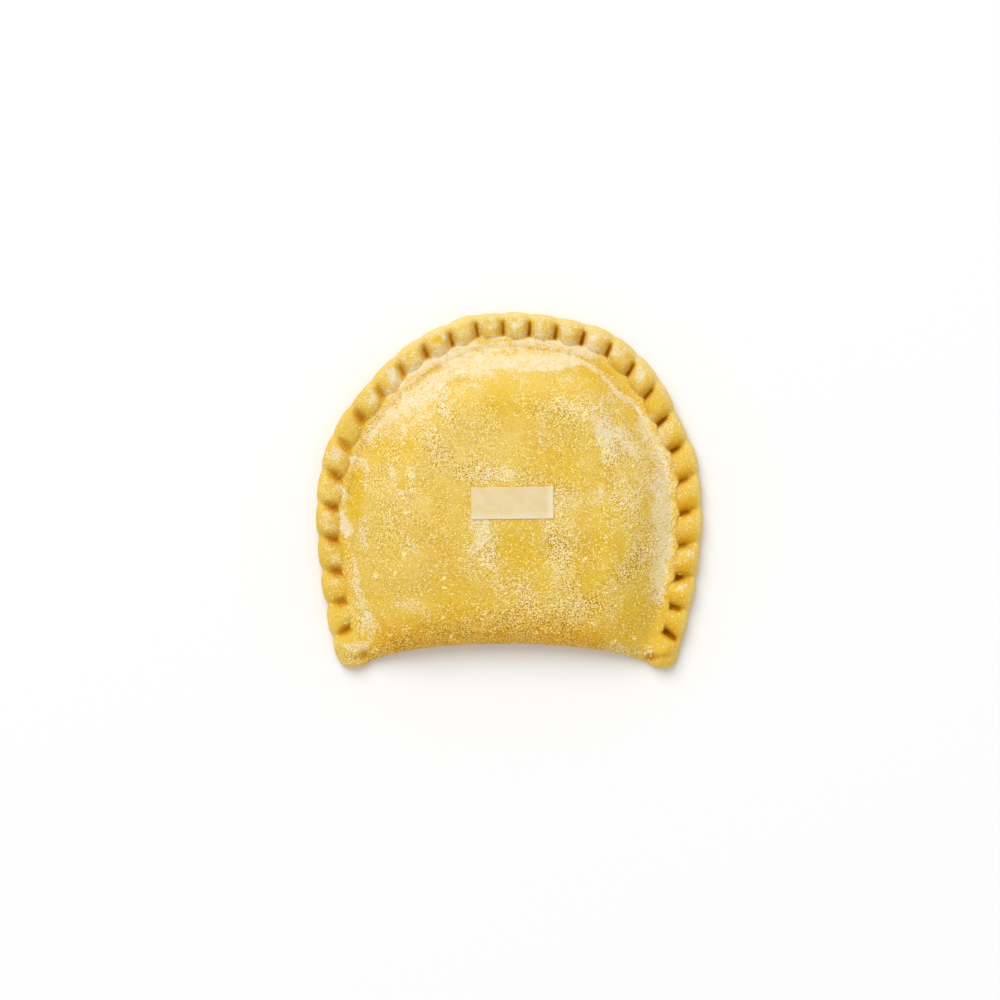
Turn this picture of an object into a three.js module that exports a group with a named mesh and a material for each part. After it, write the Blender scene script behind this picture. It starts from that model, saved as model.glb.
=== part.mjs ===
// A filled half-moon turnover of yellow dough, with a slip of paper on its crown.
// A round sheet is folded over the filling: the fold is the hollow near edge, and the open
// edges are crimped together all the way round the arch.
// Millimetres, +Z up. The origin is on the table, under the middle of the outline.
// X runs along the fold from left to right, and Y from the fold towards the top of the arch.

import * as THREE from "three";

// ---- Driving dimensions ------------------------------------------------------------------

// Plan outline
const LEFT_WIDTH = 65.25; // from the middle to the widest place on each side
const RIGHT_WIDTH = 64.9;
const TOP_LEVEL = 60; // Y of the top of the arch
const WIDEST_LEVEL = -7.2; // Y where the arch is widest
const FOLD_LEVEL = -51.4; // Y of the middle of the hollow fold
const LEFT_FULLNESS = 0.505; // curve handles of the arch: 0.552 would be a true circle
const RIGHT_FULLNESS = 0.592;
const LEFT_CORNER = { inner: [-46.2, -57.0], outer: [-57.7, -55.9], sole: -60.8 };
const RIGHT_CORNER = { inner: [45.6, -57.4], outer: [56.6, -56.1], sole: -61.0 };
// Where the hand-shaped arch swells out of that curve (+) or falls short of it (-)
const SWELLS = [
  { centre: 0.06, spread: 0.022, out: 0.7 },
  { centre: 0.285, spread: 0.035, out: 0.5 },
  { centre: 0.395, spread: 0.035, out: 0.5 },
  { centre: 0.456, spread: 0.02, out: 0.7 },
  { centre: 0.605, spread: 0.04, out: 1.6 },
  { centre: 0.712, spread: 0.034, out: -1.1 },
];

// Crimped rim
const LAST_CRIMP = 28; // grooves are numbered 1 to 28, clockwise from the left corner
const MIDDLE_CRIMP = 14; // the groove nearest the top
const RIM_EDGE_HEIGHT = 3.1; // height of the outermost line of the rim
const CREST_HEIGHT = 7.5; // top of the lobes between two grooves
const LEDGE_HEIGHT = 5.4; // flat step between the lobes and the filled body, at the top
const LEDGE_HEIGHT_LOW = 6.5; // and near the corners, where it runs out
const LOBE_LENGTH = 9.1; // from the edge to the inner end of a lobe, at the top
const LOBE_LENGTH_LOW = 8.3; // and near the corners
const LOBE_HOLLOW = 1.3; // a lobe ends this much sooner beside a groove
const LOBE_SLOPE = 4.2; // length of the slope from a lobe's crest down to the ledge
const LOBE_CREASE = 0.4; // depth of the crease between a lobe and the ledge
const EDGE_ROLL = 2.8; // radius of the rounded outer side of the lobes
const PIT_INWARD = 6.4; // where a groove is deepest
const GROOVE_DEPTH = 3.8;
const GROOVE_HALF_WIDTH = 1.55;
const GROOVE_TAPER = 0.5; // width at the edge, as a share of the width at the pit
const GROOVE_LEAN = 0.3; // slope of the grooves towards the fold, strongest half way down
const SCALLOP = 0.35; // how far the edge draws in at each groove
const LEFT_SCALLOP = 0.7; // more of that, near the left corner
const CORNER_PITS = [[-48.2, -55.4], [47.6, -56]]; // where the rim's ends meet the fold
const CORNER_PIT_DEPTH = 1.6;
const CORNER_PIT_RADIUS = 2;
const RIM_LIFT = 1.1; // the rim hangs this far clear of the table
const UNDER_ROLL = 2.2; // radius of the rounded lower side of the rim
const FLAT_FROM = 12; // the underside lies flat from here inwards

// Filled body
const BODY_START = 12.3; // distance from the edge to the foot of the body, at the top
const BODY_START_LOW = 10.2; // and near the corners
const SHOULDER_WIDTH = 20;
const SHOULDER_POWER = 2.1;
const FOOT_POWER = 1.15; // 1 would start the shoulder's slope at once, and more eases it in
const FOOT_POWER_LOW = 1.35; // near the corners
const CREASE_DEPTH = 0.45;
const CROWN_HEIGHT = 20.5;
const CROWN_FALL = [2.6, 3.2]; // fall of the crown towards the sides, and towards both ends
const CROWN_REACH = [56, 52];
const CROWN_CENTRE = [-2, 6];

// Folded edge
// All three are shares of the height of the dough behind the fold
const FOLD_MID = 0.36; // height where the fold stands out furthest
const FOLD_ROUND = 0.8; // depth of the rounded shoulder over the fold
const FOLD_UNDER = 0.25; // how far the dough curls in under the fold

// Corners
const CORNER_SHARE = 0.045; // this share of the arch, at each end, rounds off a corner
const FANNED_SHARE = 0.15; // from the corner to here the way in turns from fanned to square
const CORNER_TARGET = [30, -30]; // the corners' ways in meet here, and its mirror image

// Mesh layout
const RIM_DEPTH = 13.2; // the rings follow the edge this far in, then draw in to the hub
const HUB = [0, -9];
const LOBE_STEPS = [0, 0.12, 0.28, 0.43, 0.57, 0.72, 0.88];
const CORNER_STEPS = 10;
const STATIONS = 256;
const RIM_RELAX = 14; // passes that even out the rings at the corners, most at the rim's foot
const BODY_RELAX = 120; // and passes that round off the rings of the body towards the hub
const TOP_RIM_RINGS = [0.6, 1.6, 3.4, 5.2, 6.6, 7.7, 8.9, 10.4, RIM_DEPTH];
const UNDER_RIM_RINGS = [0.8, 2.3, 5, 8.5, 12.5];

// Paper slip
const SLIP_CENTRE = [0.9, -4.2];
const SLIP_LENGTH = 27.3;
const SLIP_WIDTH = 10.7;
const SLIP_THICKNESS = 0.3;
const SLIP_GAP = 0.3; // between the paper and the dough
const SLIP_TURN = 0.6; // degrees
const SLIP_CELLS = [12, 5];

// ---- Small helpers -----------------------------------------------------------------------

const mix = (a, b, share) => a + (b - a) * share;
const smooth = THREE.MathUtils.smoothstep; // smooth(x, from, to)

// The rise of a quarter circle: 0 at the start, 1 and level from the end on.
function quarterRound(share) {
  const left = 1 - Math.min(share, 1);
  return Math.sqrt(1 - left * left);
}

// A fixed draw between -1 and 1 for one lobe and one kind of unevenness.
function draw(lobe, kind) {
  const wave = Math.sin(lobe * 12.9898 + kind * 78.233) * 43758.5453;
  return 2 * (wave - Math.floor(wave)) - 1;
}

// The same draws, eased from lobe to lobe across the groove between them.
function uneven(phase, kind) {
  const lobe = Math.floor(phase - 0.5);
  const share = smooth(phase - 0.5 - lobe, 0.3, 0.7);
  return mix(draw(lobe, kind), draw(lobe + 1, kind), share);
}

// Gentle lumps of the filling under the dough.
function lumps(x, y) {
  const long = 0.38 * Math.sin(x / 9.7 + 1.3) * Math.cos(y / 8.3 - 0.6);
  const short = 0.16 * Math.sin((x + 1.4 * y) / 6.1) * Math.cos((1.2 * x - y) / 7.4 + 0.8);
  return long + short;
}

// ---- Plan outline ------------------------------------------------------------------------

// Clockwise from the inner end of the left corner: corner, arch, corner, then the fold.
function makeArch() {
  const rise = TOP_LEVEL - WIDEST_LEVEL;
  const [leftX, leftY] = LEFT_CORNER.outer;
  const [rightX, rightY] = RIGHT_CORNER.outer;
  const arch = new THREE.Path();
  arch.moveTo(...LEFT_CORNER.inner);
  arch.bezierCurveTo(-50.8, LEFT_CORNER.sole, -56.2, LEFT_CORNER.sole, leftX, leftY);
  arch.bezierCurveTo(-61.5, -41.5, -LEFT_WIDTH, -25.5, -LEFT_WIDTH, WIDEST_LEVEL);
  arch.bezierCurveTo(
    -LEFT_WIDTH, WIDEST_LEVEL + rise * LEFT_FULLNESS,
    -LEFT_WIDTH * LEFT_FULLNESS, TOP_LEVEL,
    0, TOP_LEVEL,
  );
  arch.bezierCurveTo(
    RIGHT_WIDTH * RIGHT_FULLNESS, TOP_LEVEL,
    RIGHT_WIDTH, WIDEST_LEVEL + rise * RIGHT_FULLNESS,
    RIGHT_WIDTH, WIDEST_LEVEL,
  );
  arch.bezierCurveTo(RIGHT_WIDTH, -24, 61, -41.5, rightX, rightY);
  arch.bezierCurveTo(55.6, RIGHT_CORNER.sole, 50, RIGHT_CORNER.sole, ...RIGHT_CORNER.inner);
  return arch;
}

function addFold(outline) {
  outline.bezierCurveTo(31.5, -52.5, 14, FOLD_LEVEL, 0, FOLD_LEVEL);
  outline.bezierCurveTo(-15, FOLD_LEVEL, -32.5, -52, ...LEFT_CORNER.inner);
  return outline;
}

const archLength = makeArch().getLength();
const outline = addFold(makeArch());
const outlineLength = outline.getLength();
const CRIMP_PITCH = crimpPlace(MIDDLE_CRIMP) / MIDDLE_CRIMP;
const cornerLength = CORNER_SHARE * archLength;
const leftSide = sideWithTail(cornerLength, archLength / 2);
const rightSide = sideWithTail(archLength - cornerLength, archLength / 2);
const foldPoints = pointsBetween(archLength - cornerLength, outlineLength + cornerLength);

// Points every half millimetre or so along a stretch of the outline.
function pointsBetween(from, to) {
  const count = Math.ceil((to - from) * 2);
  return Array.from({ length: count + 1 }, (unused, step) => edgePoint(mix(from, to, step / count)));
}

// A side of the arch, run on straight past its rounded corner.
function sideWithTail(corner, middle) {
  const side = pointsBetween(Math.min(corner, middle), Math.max(corner, middle));
  const end = edgePoint(corner);
  const run = end.clone().sub(edgePoint(corner + 2 * Math.sign(middle - corner))).normalize();
  for (let step = 1; step < 50; step += 1) {
    side.push(end.clone().addScaledVector(run, step / 2));
  }
  return side;
}

function nearest(points, x, y) {
  let least = Infinity;
  for (const point of points) {
    least = Math.min(least, (point.x - x) ** 2 + (point.y - y) ** 2);
  }
  return Math.sqrt(least);
}

function outlinePoint(along) {
  const share = along / outlineLength;
  return outline.getPoint(share - Math.floor(share));
}

function edgeNormal(along) {
  const run = outlinePoint(along + 0.5).sub(outlinePoint(along - 0.5)).normalize();
  return new THREE.Vector2(run.y, -run.x);
}

// 1 at the corners and along the fold, 0 on the arch above them.
function cornerShare(along) {
  const share = along / archLength;
  const fromEnd = Math.min(share, 1 - share);
  return 1 - smooth(fromEnd, CORNER_SHARE, FANNED_SHARE);
}

// The way in from the edge: square to the arch, but fanned towards a point behind each
// corner, and towards the hub from the middle of the fold, so that no two ways in cross.
function inwardAt(along) {
  const place = outlinePoint(along);
  const [reach, level] = CORNER_TARGET;
  const aside = smooth(Math.abs(place.x), 5, 45);
  const target = new THREE.Vector2(Math.sign(place.x) * reach, level);
  const fanned = new THREE.Vector2(...HUB).lerp(target, aside).sub(place).normalize();
  return edgeNormal(along).lerp(fanned, cornerShare(along)).normalize();
}

// The outline with its swells.
function edgePoint(along) {
  return outlinePoint(along).addScaledVector(inwardAt(along), -swellAt(along));
}

// Groove number to distance along the arch: the grooves crowd a little towards the top right.
function crimpPlace(number) {
  const half = (number - MIDDLE_CRIMP) / MIDDLE_CRIMP;
  const turn = Math.PI * (half - 0.05);
  const share = 0.4869 + 0.458 * half - 0.0072 * Math.sin(turn) - 0.0047 * Math.sin(2 * turn);
  return archLength * share;
}

function swellAt(place) {
  const share = (place % outlineLength) / archLength;
  let out = 0;
  for (const swell of SWELLS) {
    out += swell.out * Math.exp(-(((share - swell.centre) / swell.spread) ** 2));
  }
  return out;
}

// The places round the edge, each with its groove phase (a whole number is a groove) and
// with how far away, in millimetres, the nearest groove is.
function makeStations() {
  const stations = [];
  const first = crimpPlace(1);
  const last = crimpPlace(LAST_CRIMP);
  for (let step = 0; step < CORNER_STEPS; step += 1) {
    const share = step / CORNER_STEPS;
    stations.push({ along: first * share, phase: share, away: first * (1 - share) });
  }
  for (let lobe = 1; lobe < LAST_CRIMP; lobe += 1) {
    for (const step of LOBE_STEPS) {
      const along = crimpPlace(lobe + step);
      const away = Math.abs(along - crimpPlace(Math.round(lobe + step)));
      stations.push({ along, phase: lobe + step, away });
    }
  }
  for (let step = 0; step < CORNER_STEPS; step += 1) {
    const share = step / CORNER_STEPS;
    const along = mix(last, archLength, share);
    stations.push({ along, phase: LAST_CRIMP + share, away: along - last });
  }
  const foldSteps = STATIONS - stations.length;
  for (let step = 0; step < foldSteps; step += 1) {
    const along = mix(archLength, outlineLength, step / foldSteps);
    const phase = step < foldSteps / 2 ? LAST_CRIMP + 1 : 0;
    stations.push({ along, phase, away: first });
  }
  return stations;
}

// ---- Surface -----------------------------------------------------------------------------

// 1 in a groove, 0 on the lobes: a broad valley at the edge, and a sharp line further in.
function valley(away, inward) {
  const halfWidth = GROOVE_HALF_WIDTH * mix(GROOVE_TAPER, 1, smooth(inward, 0, PIT_INWARD));
  const sharp = Math.exp(-((away / halfWidth) ** 2));
  const broad = 0.5 + 0.5 * Math.cos(Math.PI * Math.min(away / (CRIMP_PITCH / 2), 1));
  return mix(broad * broad, sharp, 0.75 * smooth(inward, 0, 0.6 * PIT_INWARD));
}

// How strongly a groove is pressed in, this far from the edge.
function grooveStrength(inward, lobeEnd) {
  const towardsPit = mix(0.22, 1, smooth(inward, 0, lobeEnd - 1.6));
  return towardsPit * (1 - smooth(inward, lobeEnd - 0.9, lobeEnd + 0.5));
}

// How far in a lobe reaches, in its middle or this far from a groove.
function lobeReach(phase, away, high) {
  const middle = Math.min(away / (CRIMP_PITCH / 2), 1);
  return mix(LOBE_LENGTH_LOW, LOBE_LENGTH, high) + 0.4 * uneven(phase, 1) - LOBE_HOLLOW * (1 - middle) ** 2;
}

function crownHeight(x, y) {
  const across = (x - CROWN_CENTRE[0]) / CROWN_REACH[0];
  const along = (y - CROWN_CENTRE[1]) / CROWN_REACH[1];
  return CROWN_HEIGHT - CROWN_FALL[0] * across ** 2 - CROWN_FALL[1] * along ** 2 + lumps(x, y);
}

// 1 at the top of the arch, 0 at the corners and along the fold.
function archShare(along) {
  return along < archLength ? 0.5 - 0.5 * Math.cos((2 * Math.PI * along) / archLength) : 0;
}

// Height of the crimped rim, the ledge and the body behind it.
function archTop(station, inward, crown) {
  const { along, phase, away } = station;
  const high = archShare(along);
  const lobeEnd = lobeReach(phase, away, high);
  const crest = CREST_HEIGHT + 0.5 * uneven(phase, 2);
  const pressed = GROOVE_DEPTH * (1 + 0.25 * uneven(phase + 0.5, 3));
  const bodyStart = mix(BODY_START_LOW, BODY_START, high);
  const fall = THREE.MathUtils.clamp(1 - (lobeEnd - inward) / LOBE_SLOPE, 0, 1);
  let height = mix(crest, mix(LEDGE_HEIGHT_LOW, LEDGE_HEIGHT, high), fall * fall);
  height = mix(RIM_EDGE_HEIGHT, height, quarterRound(inward / EDGE_ROLL));
  height -= pressed * grooveStrength(inward, lobeEnd) * valley(away, inward);
  height -= LOBE_CREASE * smooth(high, 0, 0.2) * Math.exp(-(((inward - lobeEnd) / 0.5) ** 2));
  height -= CREASE_DEPTH * smooth(high, 0.1, 0.5) * Math.exp(-(((inward - bodyStart) / 0.9) ** 2));
  const rise = Math.min(Math.max(inward - bodyStart, 0) / SHOULDER_WIDTH, 1);
  const eased = rise ** mix(FOOT_POWER_LOW, FOOT_POWER, high);
  return mix(height, crown, 1 - (1 - eased) ** SHOULDER_POWER);
}

// The small pits at the two ends of the rim.
function cornerPit(x, y) {
  let depth = 0;
  for (const [pitX, pitY] of CORNER_PITS) {
    const away = Math.hypot(x - pitX, y - pitY) / CORNER_PIT_RADIUS;
    depth += CORNER_PIT_DEPTH * Math.exp(-away * away);
  }
  return depth;
}

// How far a place is from the crimped edge and from the fold. On the rim, the way in from
// the scalloped edge counts, and further in, the plain distance.
function edgeDistances(station, inward, x, y) {
  const { along } = station;
  const plain = Math.min(nearest(leftSide, x, y), nearest(rightSide, x, y));
  const onSide = along > cornerLength && along < archLength - cornerLength;
  const wayIn = onSide ? inward * edgeNormal(along).dot(inwardAt(along)) : plain;
  return {
    fromArch: mix(wayIn, plain, smooth(inward, LOBE_LENGTH + 1, RIM_DEPTH)),
    fromFold: nearest(foldPoints, x, y),
  };
}

function topHeight(station, inward, x, y) {
  const { fromArch, fromFold } = edgeDistances(station, inward, x, y);
  const behind = archTop(station, fromArch, crownHeight(x, y));
  const round = quarterRound(fromFold / (FOLD_ROUND * behind));
  return mix(FOLD_MID * behind, behind, round) - cornerPit(x, y) * round;
}

function underHeight(station, inward, x, y) {
  const { fromArch, fromFold } = edgeDistances(station, inward, x, y);
  const behind = archTop(station, fromArch, crownHeight(x, y));
  const rim = mix(RIM_EDGE_HEIGHT, RIM_LIFT, quarterRound(fromArch / UNDER_ROLL));
  const under = rim * (1 - smooth(fromArch, UNDER_ROLL, FLAT_FROM));
  return mix(FOLD_MID * behind, under, quarterRound(fromFold / (FOLD_UNDER * behind)));
}

// The plan point this far in from the edge at a station.
function rimPoint(station, inward) {
  const { away, phase } = station;
  const square = 1 - cornerShare(station.along);
  const turn = 2 * Math.PI * (station.along / archLength - 0.5);
  const lean = square > 0 ? GROOVE_LEAN * Math.sin(turn) * square : 0;
  const along = station.along + lean * (Math.min(inward, LOBE_LENGTH) - PIT_INWARD);
  const leftness = Math.exp(-(((along / archLength - 0.1) / 0.09) ** 2));
  const scallop = (SCALLOP + LEFT_SCALLOP * leftness) * valley(away, PIT_INWARD);
  const drawnIn = scallop - 0.3 * uneven(phase, 4) * square;
  const edgeOnly = station.along < archLength ? Math.max(0, 1 - inward / LOBE_LENGTH) : 0;
  return edgePoint(along).addScaledVector(inwardAt(along), inward + drawnIn * edgeOnly);
}

// Evens out a ring of points, fully where a point's hold is 1 and not at all where it is 0.
function relaxed(points, holds, passes) {
  let ring = points;
  for (let pass = 0; pass < passes; pass += 1) {
    ring = ring.map((point, place) => {
      const before = ring[(place + ring.length - 1) % ring.length];
      const after = ring[(place + 1) % ring.length];
      return point.clone().lerp(before.clone().lerp(after, 0.5), 0.5 * holds[place]);
    });
  }
  return ring;
}

// ---- Mesh --------------------------------------------------------------------------------

class ShellBuilder {
  constructor() {
    this.vertices = [];
    this.triangles = [];
  }

  vertex(x, y, z) {
    this.vertices.push(x, y, z);
    return this.vertices.length / 3 - 1;
  }

  triangle(a, b, c, flip) {
    this.triangles.push(...(flip ? [a, c, b] : [a, b, c]));
  }

  // Joins an outer ring to an inner one that has as many places, or half as many.
  stitch(outer, inner, flip) {
    const count = inner.length;
    const ratio = outer.length / count;
    for (let place = 0; place < count; place += 1) {
      const next = (place + 1) % count;
      const a = outer[place * ratio];
      const b = outer[(place * ratio + 1) % outer.length];
      const c = outer[(place * ratio + ratio) % outer.length];
      this.triangle(a, inner[place], b, flip);
      this.triangle(b, inner[place], inner[next], flip);
      if (ratio === 2) {
        this.triangle(b, inner[next], c, flip);
      }
    }
  }

  close(ring, hub, flip) {
    for (let place = 0; place < ring.length; place += 1) {
      this.triangle(ring[place], hub, ring[(place + 1) % ring.length], flip);
    }
  }

  geometry() {
    const geometry = new THREE.BufferGeometry();
    geometry.setAttribute("position", new THREE.Float32BufferAttribute(this.vertices, 3));
    geometry.setIndex(this.triangles);
    geometry.computeVertexNormals();
    return geometry;
  }
}

function makePastryGeometry() {
  const shell = new ShellBuilder();
  const stations = makeStations();
  const atCorners = stations.map((station) => cornerShare(station.along));
  const everywhere = stations.map(() => 1);
  const foot = relaxed(stations.map((station) => rimPoint(station, RIM_DEPTH)), atCorners, RIM_RELAX);
  const hub = new THREE.Vector2(...HUB);

  const lift = (points, step, inward, heightOf) => points
    .map(({ x, y }, place) => ({ x, y, place }))
    .filter(({ place }) => place % step === 0)
    .map(({ x, y, place }) => shell.vertex(x, y, heightOf(stations[place], inward, x, y)));
  const rimRing = (step, inward, heightOf) => {
    const points = stations.map((station) => rimPoint(station, inward));
    const passes = Math.round((RIM_RELAX * inward) / RIM_DEPTH);
    return lift(relaxed(points, atCorners, passes), step, inward, heightOf);
  };
  const bodyRing = (step, share, heightOf) => {
    const points = relaxed(foot, everywhere, Math.round(BODY_RELAX * share));
    return lift(points.map((point) => point.lerp(hub, share)), step, RIM_DEPTH, heightOf);
  };

  // Each face is a list of rings from the edge inwards, closed at the hub.
  const addFace = (edge, rings, hubHeight, flip) => {
    let outer = edge;
    for (const ring of rings) {
      shell.stitch(outer, ring, flip);
      outer = ring;
    }
    shell.close(outer, shell.vertex(...HUB, hubHeight), flip);
  };

  const edge = rimRing(1, 0, topHeight);
  const top = TOP_RIM_RINGS.map((inward) => rimRing(1, inward, topHeight));
  top.push(...[0.045, 0.1, 0.17, 0.27].map((share) => bodyRing(2, share, topHeight)));
  top.push(...[0.4, 0.54].map((share) => bodyRing(4, share, topHeight)));
  top.push(...[0.7, 0.86].map((share) => bodyRing(8, share, topHeight)));
  addFace(edge, top, crownHeight(...HUB), false);

  const under = UNDER_RIM_RINGS.map((inward, ring) => rimRing(ring < 2 ? 1 : 2, inward, underHeight));
  under.push(bodyRing(4, 0.12, underHeight));
  under.push(bodyRing(8, 0.35, underHeight));
  under.push(bodyRing(16, 0.6, underHeight));
  addFace(edge, under, 0, true);
  return shell.geometry();
}

// A thin sheet that follows the crown with a small gap under it.
function makeSlipGeometry() {
  const shell = new ShellBuilder();
  const [columns, rows] = SLIP_CELLS;
  const turn = THREE.MathUtils.degToRad(SLIP_TURN);
  const middle = new THREE.Vector2(...SLIP_CENTRE);
  const face = (lift) => {
    const grid = [];
    for (let row = 0; row <= rows; row += 1) {
      for (let column = 0; column <= columns; column += 1) {
        const across = (column / columns - 0.5) * SLIP_LENGTH;
        const up = (row / rows - 0.5) * SLIP_WIDTH;
        const place = new THREE.Vector2(across, up).rotateAround(new THREE.Vector2(), turn).add(middle);
        grid.push(shell.vertex(place.x, place.y, crownHeight(place.x, place.y) + lift));
      }
    }
    return grid;
  };
  const lower = face(SLIP_GAP);
  const upper = face(SLIP_GAP + SLIP_THICKNESS);
  const at = (row, column) => row * (columns + 1) + column;
  for (let row = 0; row < rows; row += 1) {
    for (let column = 0; column < columns; column += 1) {
      const corners = [at(row, column), at(row, column + 1), at(row + 1, column + 1), at(row + 1, column)];
      for (const [grid, flip] of [[upper, false], [lower, true]]) {
        const [a, b, c, d] = corners.map((corner) => grid[corner]);
        shell.triangle(a, b, c, flip);
        shell.triangle(a, c, d, flip);
      }
    }
  }
  const border = [];
  for (let column = 0; column < columns; column += 1) border.push(at(0, column));
  for (let row = 0; row < rows; row += 1) border.push(at(row, columns));
  for (let column = columns; column > 0; column -= 1) border.push(at(rows, column));
  for (let row = rows; row > 0; row -= 1) border.push(at(row, 0));
  border.forEach((corner, place) => {
    const next = border[(place + 1) % border.length];
    shell.triangle(lower[corner], lower[next], upper[next], false);
    shell.triangle(lower[corner], upper[next], upper[corner], false);
  });
  return shell.geometry();
}

// ---- Model -------------------------------------------------------------------------------

function makePastry() {
  const dough = new THREE.MeshStandardMaterial({ color: 0xe8c66e, roughness: 0.8, metalness: 0 });
  const pastry = new THREE.Mesh(makePastryGeometry(), dough);
  pastry.name = "pastry";
  return pastry;
}

function makeSlip() {
  const paper = new THREE.MeshStandardMaterial({ color: 0xeed6a5, roughness: 0.9, metalness: 0 });
  const slip = new THREE.Mesh(makeSlipGeometry(), paper);
  slip.name = "label";
  return slip;
}

const turnover = new THREE.Group();
turnover.add(makePastry(), makeSlip());

export default turnover;
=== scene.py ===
"""A filled half-moon turnover of raw yellow dough, dusted with flour, with a slip of paper on its crown.

The dough and the slip replace the two solids of the frame with the same forms in fine detail:
the heights below repeat the solids' own formula, in millimetres, and add the small relief.
Flour lies on the dough as grains and lumps of its own.
"""

import math

import bmesh
import bpy
import numpy as np
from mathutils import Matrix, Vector


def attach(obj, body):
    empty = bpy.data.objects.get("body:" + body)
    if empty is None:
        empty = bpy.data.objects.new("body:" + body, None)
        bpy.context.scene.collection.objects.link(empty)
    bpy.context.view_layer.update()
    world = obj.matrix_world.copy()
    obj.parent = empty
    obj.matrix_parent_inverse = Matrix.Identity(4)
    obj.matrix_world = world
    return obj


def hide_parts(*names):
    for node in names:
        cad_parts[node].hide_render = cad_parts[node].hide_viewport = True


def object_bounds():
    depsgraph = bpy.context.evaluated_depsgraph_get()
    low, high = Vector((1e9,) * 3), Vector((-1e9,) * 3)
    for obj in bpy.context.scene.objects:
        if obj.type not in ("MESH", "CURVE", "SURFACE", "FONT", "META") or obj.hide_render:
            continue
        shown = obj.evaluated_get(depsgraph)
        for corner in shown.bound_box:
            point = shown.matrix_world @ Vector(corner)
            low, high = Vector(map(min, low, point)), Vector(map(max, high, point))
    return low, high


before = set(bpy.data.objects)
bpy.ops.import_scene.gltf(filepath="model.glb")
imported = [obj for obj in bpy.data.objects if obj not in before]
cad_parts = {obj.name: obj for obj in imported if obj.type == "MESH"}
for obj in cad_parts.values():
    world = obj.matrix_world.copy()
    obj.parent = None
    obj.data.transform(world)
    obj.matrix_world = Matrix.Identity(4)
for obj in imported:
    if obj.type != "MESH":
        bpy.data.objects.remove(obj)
cad_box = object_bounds()

MM = 0.001  # sizes are in millimetres, and Blender's own unit is the metre
SEED = 20417

# ---- Sizes of the solids, in millimetres ----

# Plan outline
LEFT_WIDTH = 65.25
RIGHT_WIDTH = 64.9
TOP_LEVEL = 60
WIDEST_LEVEL = -7.2
FOLD_LEVEL = -51.4
LEFT_FULLNESS = 0.505
RIGHT_FULLNESS = 0.592
LEFT_INNER, LEFT_OUTER, LEFT_SOLE = (-46.2, -57.0), (-57.7, -55.9), -60.8
RIGHT_INNER, RIGHT_OUTER, RIGHT_SOLE = (45.6, -57.4), (56.6, -56.1), -61.0
# Where the arch swells out of that curve: centre, spread (shares of the arch) and reach
SWELLS = [
    (0.06, 0.022, 0.7), (0.285, 0.035, 0.5), (0.395, 0.035, 0.5),
    (0.456, 0.02, 0.7), (0.605, 0.04, 1.6), (0.712, 0.034, -1.1),
]

# Crimped rim. The first three values are shares of the arch.
CRIMP_MIDDLE = 0.4869
CRIMP_HALF_SPAN = 0.458
CRIMP_DRIFT = (0.0072, 0.0047)
LAST_CRIMP = 28
MIDDLE_CRIMP = 14
RIM_EDGE_HEIGHT = 3.1
CREST_HEIGHT = 7.5
LEDGE_HEIGHTS = (6.5, 5.4)  # such a pair is for the arch's ends and for its top
LOBE_LENGTHS = (8.3, 9.1)
LOBE_LENGTH = max(LOBE_LENGTHS)
LOBE_HOLLOW = 1.3
LOBE_SLOPE = 4.2
LOBE_CREASE = 0.4
LOBE_CREASE_HALF_WIDTH = 0.5
EDGE_ROLL = 2.8
PIT_INWARD = 6.4
GROOVE_DEPTH = 3.8
GROOVE_HALF_WIDTH = 1.55
GROOVE_TAPER = 0.5
GROOVE_LEAN = 0.3
SCALLOP, LEFT_SCALLOP = 0.35, 0.7
VALLEY_SHARPNESS = 0.75
CORNER_PITS = [(-48.2, -55.4), (47.6, -56)]
CORNER_PIT_DEPTH = 1.6
CORNER_PIT_RADIUS = 2
RIM_LIFT = 1.1
UNDER_ROLL = 2.2
FLAT_FROM = 12
# How far the lobes differ from each other, in millimetres, and the grooves, as a share
REACH_UNEVEN, CREST_UNEVEN, EDGE_UNEVEN, GROOVE_UNEVEN = 0.4, 0.5, 0.3, 0.25
REACH_DRAW, CREST_DRAW, GROOVE_DRAW, EDGE_DRAW, PIT_DRAW, LIT_DUST_DRAW = 1, 2, 3, 4, 6, 7

# Filled body
BODY_STARTS = (10.2, 12.3)
SHOULDER_WIDTH = 20
SHOULDER_POWER = 2.1
FOOT_POWERS = (1.35, 1.15)
CREASE_DEPTH = 0.45
CREASE_HALF_WIDTH = 0.9
CROWN_HEIGHT = 20.5
CROWN_FALL = (2.6, 3.2)
CROWN_REACH = (56, 52)
CROWN_CENTRE = (-2, 6)

# Fold and corners
FOLD_MID = 0.36
FOLD_ROUND = 0.8
FOLD_UNDER = 0.25
FOLD_BAND = 17
CORNER_SHARE = 0.045
FANNED_SHARE = 0.15
CORNER_TARGET = (30, -30)

# Fine mesh
RIM_DEPTH = 13.2
HUB = np.array([0.0, -9.0])
LOBE_CUTS = 26
CORNER_CUTS = 41
FOLD_CUTS = 184
RIM_RELAX = 170
BODY_RELAX = 1500
UNDER_EDGE_DEPTHS = (0.15, 0.5, 1.1, 1.8)
UNDER_RIM_DEPTHS = np.linspace(2.6, RIM_DEPTH, 14)
# Rings of the body: the step between stations, and shares of the way to the hub
TOP_RINGS = [(2, np.linspace(0, 0.62, 42)[1:]), (4, np.linspace(0.62, 0.97, 22)[1:])]
UNDER_RINGS = [(4, np.linspace(0, 0.8, 9)[1:])]

# Creases at the two ends of the rim, where the layers of dough meet: from, to
END_CREASES = [((-54.0, -56.7), (-49.0, -56.0)), ((46.0, -56.6), (53.4, -55.4))]
END_CREASE_DEPTH = 0.6
END_CREASE_HALF_WIDTH = 1.0
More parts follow.
